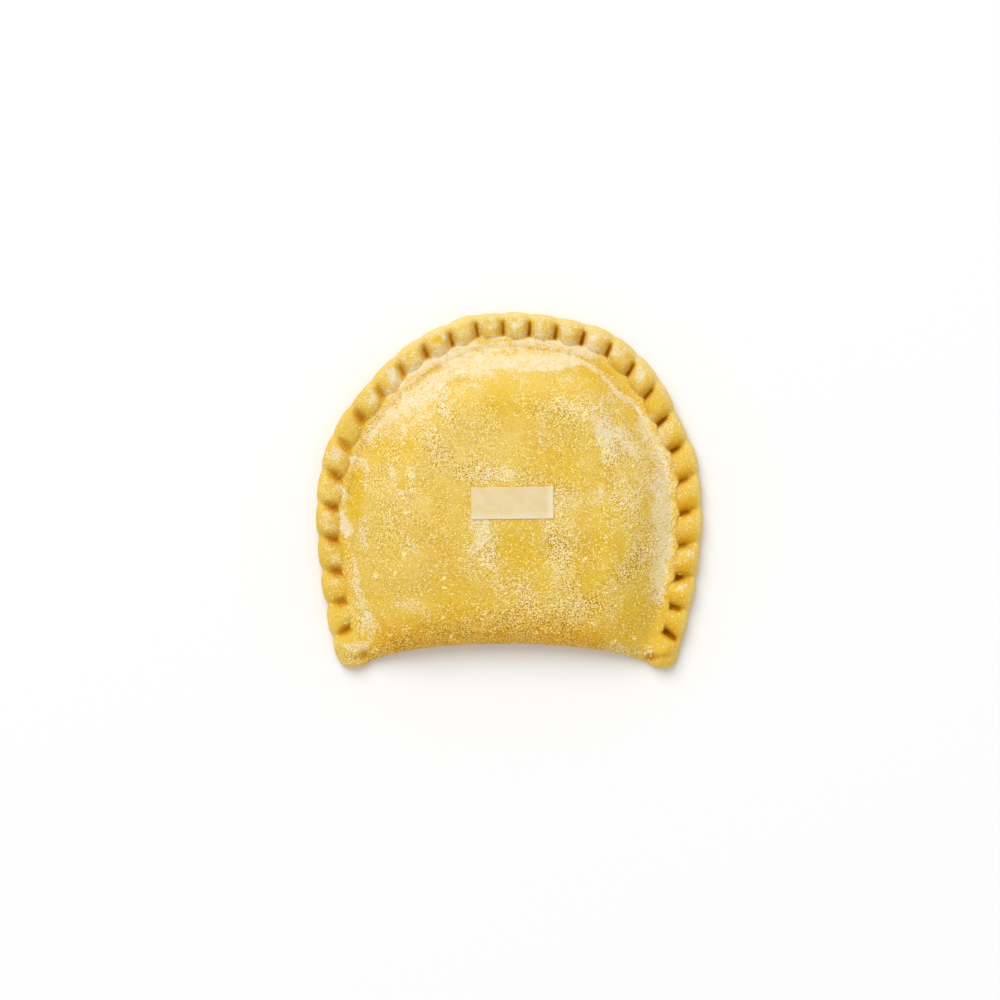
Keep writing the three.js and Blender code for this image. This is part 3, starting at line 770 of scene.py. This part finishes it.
class Shell:
    """Rings of vertices, stitched together into one closed skin."""

    def __init__(self):
        self.vertices = []
        self.marks = []
        self.triangles = []
        self.count = 0

    def ring(self, places, heights, marks):
        self.vertices.append(np.column_stack([places, heights]))
        self.marks.append(marks)
        self.count += len(places)
        return np.arange(self.count - len(places), self.count)

    def add(self, corners, flip):
        triangles = np.column_stack(corners)
        self.triangles.append(triangles[:, ::-1] if flip else triangles)

    def stitch(self, outer, inner, flip):
        ratio = len(outer) // len(inner)
        a, b, c = outer[::ratio], np.roll(outer, -1)[::ratio], np.roll(outer, -ratio)[::ratio]
        following = np.roll(inner, -1)
        self.add([a, inner, b], flip)
        self.add([b, inner, following], flip)
        if ratio == 2:
            self.add([b, following, c], flip)

    def close(self, ring, hub, flip):
        self.add([ring, np.full(len(ring), hub), np.roll(ring, -1)], flip)

    def rim_ring(self, step, inward, surface, highest=np.inf):
        """A ring this far in from the edge, with a vertex at every so many stations."""
        passes = round(RIM_RELAX * inward / RIM_DEPTH)
        stations = np.arange(0, len(ALONG), step)
        places = relaxed(rim_points(inward), AT_CORNERS, passes)[stations]
        heights, marks = surface(stations, inward, places)
        return self.ring(places, np.minimum(heights, highest), marks)

    def body_rings(self, plan, surface):
        """Rings from the foot of the body towards the hub."""
        foot = relaxed(rim_points(RIM_DEPTH), AT_CORNERS, RIM_RELAX)
        rings = []
        for step, shares in plan:
            stations = np.arange(0, len(ALONG), step)
            for share in shares:
                even = relaxed(foot, EVERYWHERE, round(BODY_RELAX * share))[stations]
                places = mix(even, HUB, share)
                rings.append(self.ring(places, *surface(stations, RIM_DEPTH, places)))
        return rings

    def add_face(self, edge, rings, hub_height, flip):
        """Stitches one face from the edge to the hub."""
        outer = edge
        for ring in rings:
            self.stitch(outer, ring, flip)
            outer = ring
        hub = self.ring(HUB[None, :], [hub_height], np.zeros((1, len(MARKS))))[0]
        self.close(outer, hub, flip)

    def arrays(self):
        return tuple(np.concatenate(parts) for parts in (self.vertices, self.triangles, self.marks))


def add_object(name, data):
    thing = bpy.data.objects.new(name, data)
    bpy.context.scene.collection.objects.link(thing)
    return thing


def mesh_object(name, vertices, faces, smooth_shaded=True):
    mesh = bpy.data.meshes.new(name)
    mesh.from_pydata(vertices.tolist(), [], faces.tolist())
    mesh.polygons.foreach_set("use_smooth", [smooth_shaded] * len(mesh.polygons))
    mesh.update()
    return add_object(name, mesh)


def set_attribute(piece, name, values):
    attribute = piece.data.attributes.new(name, "FLOAT", "POINT")
    attribute.data.foreach_set("value", np.asarray(values, np.float32))


def ring_depths():
    """Rim rings close together on the rounded edge, then evenly spaced."""
    roll = EDGE_ROLL * (1 - np.cos(np.linspace(0, math.pi / 2, 9)[1:-1]))
    return np.concatenate([roll, np.linspace(EDGE_ROLL, RIM_DEPTH, 30)])


def dough_shell():
    """Both faces of the dough. The lower one never rises above the edge they share."""
    shell = Shell()
    edge = shell.rim_ring(1, 0, top_surface)
    top = [shell.rim_ring(1, inward, top_surface) for inward in ring_depths()]
    top.extend(shell.body_rings(TOP_RINGS, top_surface))
    shell.add_face(edge, top, crown_height(*HUB) + small_relief(HUB), False)
    edge_heights = shell.vertices[0][:, 2]
    under = [shell.rim_ring(1, inward, under_surface, edge_heights) for inward in UNDER_EDGE_DEPTHS]
    under.extend(shell.rim_ring(2, inward, under_surface) for inward in UNDER_RIM_DEPTHS)
    under.extend(shell.body_rings(UNDER_RINGS, under_surface))
    shell.add_face(edge, under, 0, True)
    return shell.arrays()


def make_dough():
    vertices, triangles, marks = dough_shell()
    piece = mesh_object("crust", vertices * MM, triangles)
    for name, values in zip(MARKS, marks.T):
        set_attribute(piece, name, values)
    places = vertices[:, :2]
    above = 1 - marks[:, MARKS.index("under")]
    set_attribute(piece, "grainy", graininess(places, above))
    set_attribute(piece, "flour", flour_cover(places, marks))
    set_attribute(piece, "haze_and_edge_light", haze_and_edge_highlight(places, marks))
    set_attribute(piece, "bare", bare_share(places) * above)
    return piece, Skin(vertices, triangles, marks)


# ---- Flour ----


def ragged(places):
    """Places pushed about a little, so that what is drawn through them has ragged edges."""
    return places + np.column_stack([layered(places, RAGGED_ACROSS), layered(places, RAGGED_UP)])


def stroked(strokes, places):
    """How strongly a set of strokes covers each place, from 0 to 1."""
    left = np.ones(len(places))
    places = ragged(places)
    for half_width, cover, *line in strokes:
        away = stroke_distance(from_photo(line), places) / (half_width * MM_PER_PIXEL)
        left = left * (1 - cover * np.exp(-(away**3)))
    return 1 - left


def bare_share(places):
    bare = np.zeros(len(places))
    places = ragged(places)
    for x, y, radius, share in BARE_SPOTS:
        away = np.linalg.norm(places - from_photo((x, y)), axis=1) / (radius * MM_PER_PIXEL)
        bare = np.maximum(bare, share * np.exp(-(away**3)))
    return bare


def on_lobes(places, value, elsewhere):
    return np.where(nearest_side(places) < LOBE_LENGTH, value, elsewhere)


def graininess(places, above):
    """How grainy the film of flour is, least on the lobes."""
    plain = mix(0.36, 0.1, smooth(places[:, 1], 22, 42))
    grainy = plain + 0.9 * stroked(GRAINY_STROKES, places) * above
    return grainy * layered(places, UNEVEN_GRAIN, 1) * on_lobes(places, 0.4, 1)


def flour_cover(places, marks):
    """How much thick film of flour lies at each place: 0 is none, 1 hides the dough."""
    pit, halo_shade, _, dust_and_highlight, fold, under = marks.T
    x, y = places.T
    bare = bare_share(places)
    lobes = on_lobes(places, LOBE_FLOUR * smooth(y, 5, 56), 0)
    cover = 1 - (1 - stroked(FLOUR_STROKES, places)) * (1 - lobes) * (1 - dust_and_highlight)
    # Less flour on the right ledge: painted shade that dims the ledge where it faces the light
    ledge_shade = bell(nearest_side(places) - 9.3, 1.3) * smooth(x, 20, 45)
    cover = cover * (1 - np.minimum(pit, 1)) * (1 - 0.6 * halo_shade) * (1 - 0.8 * bare)
    cover = cover * (1 - 0.55 * ledge_shade) - 0.4 * bare
    patches = layered(places, DUST_UNDERNEATH, 0.15)
    return mix(cover, np.maximum(patches, 0), under) - 0.3 * fold


def haze_and_edge_highlight(places, marks):
    """The thin haze of flour that dulls the dough nearly everywhere, and a painted highlight, a pale rim
    along the outer edges.
    """
    pit, halo_shade, _, _, fold, _ = marks.T
    x, y = places.T
    patchy = layered(places, UNEVEN_HAZE, 1) * mix(0.6, 1.05, smooth(y, -45, 10))
    patchy = patchy * mix(1.15, 0.7, smooth(x, -30, 40))
    rubbed = (1 - 0.9 * bare_share(places)) * (1 - 0.85 * fold) * (1 - 0.9 * halo_shade)
    off_corners = np.where(np.abs(x) > 44, 0, LOBE_LENGTH)
    from_edge = np.minimum(nearest_side(places), nearest(FOLD_LINE, places) + off_corners)
    left_side = smooth(-x, 30, 48) * smooth(y, -50, -42)
    left_lobes = left_side * on_lobes(places, 1, 0)
    # A painted highlight: a pale rim within a few millimetres of the outer edge, weaker on the left
    edge_highlight = 0.4 * (1 - smooth(from_edge, 0.5, 3.5)) * (1 - 0.5 * halo_shade) * (1 - 0.8 * left_side)
    return (HAZE * patchy * rubbed * (1 - 0.4 * left_lobes) + edge_highlight) * (1 - np.minimum(pit, 1))


class Skin:
    """The crust's triangles, as places for flour to lie on."""

    def __init__(self, vertices, triangles, marks):
        self.corners = vertices[triangles]
        cross = np.cross(self.corners[:, 1] - self.corners[:, 0], self.corners[:, 2] - self.corners[:, 0])
        self.area = np.linalg.norm(cross, axis=1) / 2
        self.normals = cross / (2 * self.area[:, None] + 1e-12)
        self.middles = self.corners.mean(axis=1)
        marks = marks[triangles].mean(axis=1)
        places = self.middles[:, :2]
        cover = np.clip(flour_cover(places, marks), 0, 1)
        thick = 0.25 + 1.2 * cover + 1.3 * stroked(GRAINY_STROKES, places)
        patchy = 0.25 + smooth(layered(places, DRIFTS), -0.8, 1)
        slope = smooth(self.normals[:, 2], 0.1, 0.6)
        clear = np.where(over_slip(*places.T, 0.5), 0, 1) * (1 - 0.9 * np.minimum(marks[:, 0], 1))
        clear = clear * on_lobes(places, 0.6, 1) * (1 - 0.85 * bare_share(places))
        self.weight = self.area * thick * patchy * slope * clear

    def draw(self, count, random, sharpen=1):
        """Random places on the skin, most where flour lies thick, and the slopes there."""
        weight = self.weight * (self.weight / (self.area + 1e-12)) ** (sharpen - 1)
        chosen = random.choice(len(weight), count, p=weight / weight.sum())
        share = random.random((count, 2))
        beyond = share.sum(axis=1) > 1
        share[beyond] = 1 - share[beyond]
        a, b, c = self.corners[chosen].transpose(1, 0, 2)
        return a + (b - a) * share[:, :1] + (c - a) * share[:, 1:], self.normals[chosen]

    def under(self, places):
        """The skin below these places on the table."""
        upper = np.flatnonzero(self.normals[:, 2] > 0.1)
        found = [upper[((self.middles[upper, :2] - place) ** 2).sum(axis=1).argmin()] for place in places]
        return np.column_stack([places, self.middles[found, 2]]), self.normals[found]


def tetrahedron():
    points = np.array([(1, 1, 1), (-1, -1, 1), (-1, 1, -1), (1, -1, -1)]) / math.sqrt(3)
    return points, np.array([(0, 1, 3), (0, 2, 1), (0, 3, 2), (1, 2, 3)])


def lump():
    """A ball of 80 triangles."""
    ball = bmesh.new()
    bmesh.ops.create_icosphere(ball, subdivisions=2, radius=1)
    points = np.array([vertex.co for vertex in ball.verts])
    faces = np.array([[vertex.index for vertex in face.verts] for face in ball.faces])
    ball.free()
    return points, faces


def make_grains(skin, random):
    """Thousands of fine grains of flour, thickest where the film is."""
    spots, normals = skin.draw(GRAIN_COUNT, random)
    sizes = GRAIN_SIZE * np.exp(random.normal(0, GRAIN_SPREAD, GRAIN_COUNT))
    return scattered("flour_grains", spots, normals, sizes, tetrahedron(), GRAIN_ROUGHNESS, random)


def make_clumps(skin, random):
    """Lumps of caked flour: some at places of their own, and many small ones."""
    spots, normals = skin.draw(CLUMP_COUNT, random, 2)
    sizes = CLUMP_SIZE * np.exp(random.normal(0, CLUMP_SPREAD, CLUMP_COUNT))
    places = []
    widths = []
    for x, y, pixels in FLOUR_LUMPS:
        width = pixels * MM_PER_PIXEL
        for _ in range(LUMP_PARTS):
            places.append(from_photo((x, y)) + random.normal(0, LUMP_SCATTER * width, 2))
            widths.append(width * random.uniform(*LUMP_PART_WIDTH))
    named_spots, named_normals = skin.under(places)
    spots = np.concatenate([spots, named_spots])
    normals = np.concatenate([normals, named_normals])
    sizes = np.concatenate([sizes, widths])
    return scattered("flour_clumps", spots, normals, sizes, lump(), CLUMP_ROUGHNESS, random)


def scattered(name, spots, normals, sizes, shape, roughness, random):
    """Copies of a small shape, each turned, stretched and roughened, half sunk in the surface."""
    points, faces = shape
    count = len(spots)
    normals = unit(normals)
    side = unit(np.cross(normals, random.normal(size=(count, 3))))
    other = np.cross(normals, side)
    rough = 1 + random.uniform(-roughness, roughness, (count, len(points), 1))
    local = points[None] * rough * sizes[:, None, None] / 2
    stretch = random.uniform(*STRETCH, (count, 1, 1))
    vertices = (
        spots[:, None]
        + local[:, :, :1] * stretch * side[:, None]
        + local[:, :, 1:2] / stretch * other[:, None]
        + (FLATNESS * local[:, :, 2:] + RISE * sizes[:, None, None]) * normals[:, None]
    )
    triangles = faces[None] + len(points) * np.arange(count)[:, None, None]
    piece = mesh_object(name, vertices.reshape(-1, 3) * MM, triangles.reshape(-1, 3), False)
    # Grains near the fold take the fold's painted shade
    fold_shade = fold_mark(nearest(FOLD_LINE, spots[:, :2]), spots[:, 0])
    set_attribute(piece, "fold_shade", np.repeat(fold_shade, len(points)))
    return piece


def over_slip(x, y, margin=0.0):
    along, across = slip_frame(x, y)
    return (np.abs(along) < SLIP_LENGTH / 2 + margin) & (np.abs(across) < SLIP_WIDTH / 2 + margin)


def slip_frame(x, y):
    """Places on the table as places along and across the slip."""
    along, across = x - SLIP_CENTRE[0], y - SLIP_CENTRE[1]
    return along * SLIP_COS + across * SLIP_SIN, across * SLIP_COS - along * SLIP_SIN


# ---- Paper slip ----


def slip_places(along, across):
    """Places on the table for shares of the slip's length and width, with slightly wavy edges."""
    waver_along = 0.09 * value_noise(across * 9, np.sign(along), 1.3, 11)
    waver_across = 0.08 * value_noise(along * 22, np.sign(across), 2.1, 12)
    u = along * SLIP_LENGTH + waver_along * smooth(np.abs(along), 0.4, 0.5)
    v = across * SLIP_WIDTH + waver_across * smooth(np.abs(across), 0.35, 0.5)
    x, y = u * SLIP_COS - v * SLIP_SIN, u * SLIP_SIN + v * SLIP_COS
    return SLIP_CENTRE[0] + x, SLIP_CENTRE[1] + y


def sheet_faces(columns, rows):
    """The faces of a sheet of two equal grids, the lower one first, joined all round."""
    index = np.arange((rows + 1) * (columns + 1)).reshape(rows + 1, columns + 1)
    a, b, c, d = index[:-1, :-1], index[:-1, 1:], index[1:, 1:], index[1:, :-1]
    below = np.stack([a, d, c, b], axis=-1).reshape(-1, 4)
    above = np.stack([a, b, c, d], axis=-1).reshape(-1, 4) + index.size
    rim = np.concatenate([index[0, :-1], index[:-1, -1], index[-1, :0:-1], index[:0:-1, 0]])
    following = np.roll(rim, -1)
    sides = np.column_stack([rim, following, following + index.size, rim + index.size])
    return np.concatenate([above, below, sides])


def make_slip():
    """A thin sheet that lies along the crown, with slightly lifted corners."""
    columns, rows = SLIP_CELLS
    along, across = np.meshgrid(np.linspace(-0.5, 0.5, columns + 1), np.linspace(-0.5, 0.5, rows + 1))
    x, y = slip_places(along, across)
    corner = smooth(np.abs(along), 0.36, 0.5) * smooth(np.abs(across), 0.2, 0.5)
    wave = 0.05 * value_noise(x, y, 4.1, 13) + 0.1 * corner
    lower = crown_height(x, y) + SLIP_GAP + wave
    grids = [np.stack([x, y, lower + lift], axis=-1).reshape(-1, 3) for lift in (0, SLIP_THICKNESS)]
    piece = mesh_object("slip", np.concatenate(grids) * MM, sheet_faces(columns, rows))
    dry = np.maximum(smooth(along, 0.40, 0.47), 0.7 * smooth(-across, 0.25, 0.5))
    set_attribute(piece, "dry", np.tile(dry.ravel(), 2))
    return piece


# ---- Materials ----


class Paint:
    """A procedural material on one Principled shader. A pattern is a socket of its node tree."""

    def __init__(self, name, colour, roughness):
        self.material = bpy.data.materials.new(name)
        self.material.use_nodes = True
        self.nodes = self.material.node_tree.nodes
        self.shader = self.nodes["Principled BSDF"]
        self.shader.inputs["Base Color"].default_value = (*colour, 1)
        self.shader.inputs["Roughness"].default_value = roughness
        self.shader.inputs["Specular IOR Level"].default_value = 0.12
        self.place = self.nodes.new("ShaderNodeTexCoord").outputs["Object"]

    def node(self, kind, inputs, **settings):
        node = self.nodes.new(kind)
        for name, value in settings.items():
            setattr(node, name, value)
        for socket, value in inputs.items():
            self.put(node.inputs[socket], value)
        return node

    def put(self, socket, value):
        if isinstance(value, bpy.types.NodeSocket):
            self.material.node_tree.links.new(value, socket)
        else:
            socket.default_value = value

    def attribute(self, name):
        return self.node("ShaderNodeAttribute", {}, attribute_name=name).outputs["Fac"]

    def noise(self, feature, detail=2.0):
        """Soft noise with features of this many millimetres."""
        inputs = {"Vector": self.place, "Scale": 1 / (feature * MM), "Detail": detail}
        return self.node("ShaderNodeTexNoise", inputs).outputs["Fac"]

    def cells(self, feature):
        """The distance to the middle of the nearest cell, and a draw for each cell."""
        inputs = {"Vector": self.place, "Scale": 1 / (feature * MM)}
        node = self.node("ShaderNodeTexVoronoi", inputs)
        return node.outputs["Distance"], node.outputs["Color"]

    def math(self, operation, a, b=0.0):
        return self.node("ShaderNodeMath", {0: a, 1: b}, operation=operation).outputs[0]

    def add(self, a, b):
        return self.math("ADD", a, b)

    def times(self, first, *others):
        for other in others:
            first = self.math("MULTIPLY", first, other)
        return first

    def line(self, value, slope, start):
        return self.add(self.times(value, slope), start)

    def step(self, value, low, high, start=0.0, end=1.0):
        """Eases from start to end as the value goes from low to high."""
        inputs = {"Value": value, "From Min": low, "From Max": high, "To Min": start, "To Max": end}
        return self.node("ShaderNodeMapRange", inputs, interpolation_type="SMOOTHSTEP").outputs["Result"]

    def blend(self, share, a, b):
        """From colour a to colour b."""
        a, b = (value if isinstance(value, bpy.types.NodeSocket) else (*value, 1) for value in (a, b))
        node = self.node("ShaderNodeMix", {}, data_type="RGBA")
        for socket, value in ((node.inputs[0], share), (node.inputs[6], a), (node.inputs[7], b)):
            self.put(socket, value)
        return node.outputs[2]

    def bump(self, height, depth):
        """Relief this many millimetres deep."""
        inputs = {"Height": height, "Strength": 1.0, "Distance": depth * MM}
        self.put(self.shader.inputs["Normal"], self.node("ShaderNodeBump", inputs).outputs["Normal"])


def dough_colour(paint, grain_gap_shade, fold, halo_shade, pit):
    """The dough, yellow, with painted shade on it: golden over the fold, browner between the grains, in
    creases, round the pits and in them.
    """
    tone = paint.blend(paint.step(paint.noise(BROAD_PATCH, 2.0), 0.35, 0.65), YELLOW_DOUGH, DEEP_DOUGH)
    tone = paint.blend(paint.times(paint.attribute("bare"), 0.8), tone, BARE_DOUGH)
    tone = paint.blend(paint.times(fold, 0.9), tone, FOLD_SHADE_DOUGH)
    tone = paint.blend(grain_gap_shade, tone, GAP_SHADE_DOUGH)
    tone = paint.blend(paint.times(paint.attribute("crease"), 0.8), tone, CREASE_SHADE_DOUGH)
    tone = paint.blend(paint.times(halo_shade, 0.9), tone, HALO_SHADE_DOUGH)
    return paint.blend(paint.step(pit, 0.1, 1.0), tone, PIT_SHADE_DOUGH)


def flour_film(paint, fine, middling, grainy):
    """How far flour hides the dough, as a thin haze or a thick film, and the thick film alone."""
    grain = paint.add(fine, -0.5)
    thin = paint.add(paint.times(grain, paint.line(grainy, 5.0, 1.2)), 1.0)
    # The haze carries the painted edge highlight too
    thin = paint.times(paint.attribute("haze_and_edge_light"), thin)
    speckle = paint.times(grain, paint.line(grainy, 3.0, 1.0))
    patchy = paint.times(paint.add(middling, -0.5), 1.3)
    thick = paint.add(paint.attribute("flour"), paint.add(speckle, patchy))
    return paint.math("MAXIMUM", thin, paint.step(thick, 0.0, 1.0)), thick


def flour_flecks(paint, grainy):
    """Small round flecks in some cells, in more of them where the flour is grainy."""
    distance, draw = paint.cells(FLECK_CELL)
    flecks = paint.step(paint.add(draw, paint.times(grainy, 0.55)), 0.78, 0.95)
    return paint.times(flecks, paint.step(distance, 0.22, 0.5, 1.0, 0.0))


def dough_material():
    """Raw yellow dough under a patchy, grainy film of flour."""
    paint = Paint("dough", YELLOW_DOUGH, 0.6)
    fine, middling = paint.noise(FINE_GRAIN, 1.0), paint.noise(MIDDLING_PATCH, 3.0)
    pit, halo_shade, fold, grainy = (paint.attribute(name) for name in ("pit", "halo_shade", "fold", "grainy"))
    # Painted shadow in the gaps between grains, most where the flour is grainy
    grain_gap_shade = paint.times(paint.step(fine, 0.38, 0.57, 1.0, 0.0), paint.line(grainy, 0.7, 0.12))
    # Flour is cleared from the pits and from the painted shade round them
    clear = paint.times(paint.step(halo_shade, 0.2, 1.0, 1.0, 0.3), paint.step(pit, 0.0, 0.6, 1.0, 0.0))
    film, thick = flour_film(paint, fine, middling, grainy)
    film = paint.times(film, clear, paint.step(fold, 0.0, 1.0, 1.0, 0.3))
    film = paint.times(film, paint.step(grain_gap_shade, 0.0, 0.8, 1.0, 0.3))
    flecks = paint.times(flour_flecks(paint, grainy), clear, paint.step(film, 0.2, 1.0, 1.0, 0.2))
    flour = paint.blend(paint.step(thick, 0.2, 0.8), FLOUR_THIN, FLOUR)
    # Flour and flecks golden at the fold: painted shade
    flour = paint.blend(paint.times(fold, 0.9), flour, FLOUR_FOLD_SHADE)
    fleck = paint.blend(paint.times(fold, 0.6), FLOUR_FLECK, FLOUR_FOLD_SHADE)
    colour = paint.blend(film, dough_colour(paint, grain_gap_shade, fold, halo_shade, pit), flour)
    paint.put(paint.shader.inputs["Base Color"], paint.blend(flecks, colour, fleck))
    paint.put(paint.shader.inputs["Roughness"], paint.step(film, 0.0, 0.8, 0.5, 0.9))
    paint.bump(paint.add(paint.times(fine, 0.8), middling), 0.15)
    return paint.material


def flour_material():
    """Dry flour in grains and lumps, a little yellow from the dough, and golden near the fold as painted
    shade.
    """
    paint = Paint("flour", FLOUR_GRAIN, 0.95)
    tint = paint.step(paint.noise(1.4, 1.0), 0.3, 0.7)
    colour = paint.blend(tint, FLOUR_GRAIN, FLOUR_SHADED)
    colour = paint.blend(paint.times(paint.attribute("fold_shade"), 0.8), colour, FLOUR_FOLD_SHADE)
    paint.put(paint.shader.inputs["Base Color"], colour)
    paint.bump(paint.noise(0.25, 2.0), 0.05)
    return paint.material


def paper_material():
    """Thin paper, damp and yellow where it touches the dough, with short fibres."""
    paint = Paint("paper", PAPER_DAMP, 0.85)
    mottled = paint.add(paint.noise(3.2, 3.0), paint.times(paint.noise(0.5, 1.0), 0.8))
    dry = paint.add(paint.step(mottled, 0.4, 1.6), paint.times(paint.attribute("dry"), 0.8))
    dry = paint.math("MINIMUM", dry, 1.0)
    paint.put(paint.shader.inputs["Base Color"], paint.blend(dry, PAPER_DAMP, PAPER_DRY))
    paint.bump(paint.noise(0.3, 3.0), 0.03)
    return paint.material


# ---- Camera, floor and light ----

IMAGE_SIZE = 1000  # pixels each way
CAMERA_DISTANCE = 1.2
SENSOR = 36
FLOOR_COLOUR = (0.965, 0.965, 0.965)
FLOOR_REACH = 4.0
SKY = 0.60
KEY_PLACE = (-1.5, 3.4, 5.0)
KEY_SIZE = 5.0
KEY_POWER = 242


def make_camera():
    """Straight above, with the object as wide and as far off centre as in the photograph."""
    metres_per_pixel = (cad_box[1][0] - cad_box[0][0]) / OBJECT_WIDTH_PIXELS
    data = bpy.data.cameras.new("camera")
    data.sensor_width = SENSOR
    data.lens = SENSOR * CAMERA_DISTANCE / (IMAGE_SIZE * metres_per_pixel)
    data.clip_start = 0.01
    camera = add_object("camera", data)
    right = (OBJECT_CENTRE_PIXELS[0] - IMAGE_SIZE / 2) * metres_per_pixel
    up = (IMAGE_SIZE / 2 - OBJECT_CENTRE_PIXELS[1]) * metres_per_pixel
    camera.location = (-right, -up, CAMERA_DISTANCE)
    bpy.context.scene.camera = camera


def make_floor():
    corners = FLOOR_REACH * np.array([(-1, -1, 0), (1, -1, 0), (1, 1, 0), (-1, 1, 0)])
    floor = mesh_object("floor", corners, np.array([(0, 1, 2, 3)]))
    floor.data.materials.append(Paint("floor_white", FLOOR_COLOUR, 0.9).material)


def make_sky():
    world = bpy.data.worlds.new("studio")
    bpy.context.scene.world = world
    world.use_nodes = True
    background = world.node_tree.nodes["Background"]
    background.inputs["Color"].default_value = (1, 1, 1, 1)
    background.inputs["Strength"].default_value = SKY
    bpy.context.scene.view_settings.view_transform = "Standard"


def make_key_light():
    """A broad, soft light behind the arch, turned to the object."""
    data = bpy.data.lights.new("key", "AREA")
    data.shape = "DISK"
    data.size = KEY_SIZE
    data.energy = KEY_POWER
    light = add_object("key", data)
    light.location = KEY_PLACE
    light.rotation_euler = Vector(KEY_PLACE).to_track_quat("Z", "Y").to_euler()


# ---- Pieces ----


def add_piece(piece, material, node):
    piece.data.materials.append(material)
    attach(piece, "root")
    if node:
        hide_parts(node)


make_camera()
make_floor()
make_sky()
make_key_light()

random = np.random.default_rng(SEED)
crust, skin = make_dough()
flour = flour_material()
add_piece(crust, dough_material(), "pastry")
add_piece(make_grains(skin, random), flour, None)
add_piece(make_clumps(skin, random), flour, None)
add_piece(make_slip(), paper_material(), "label")
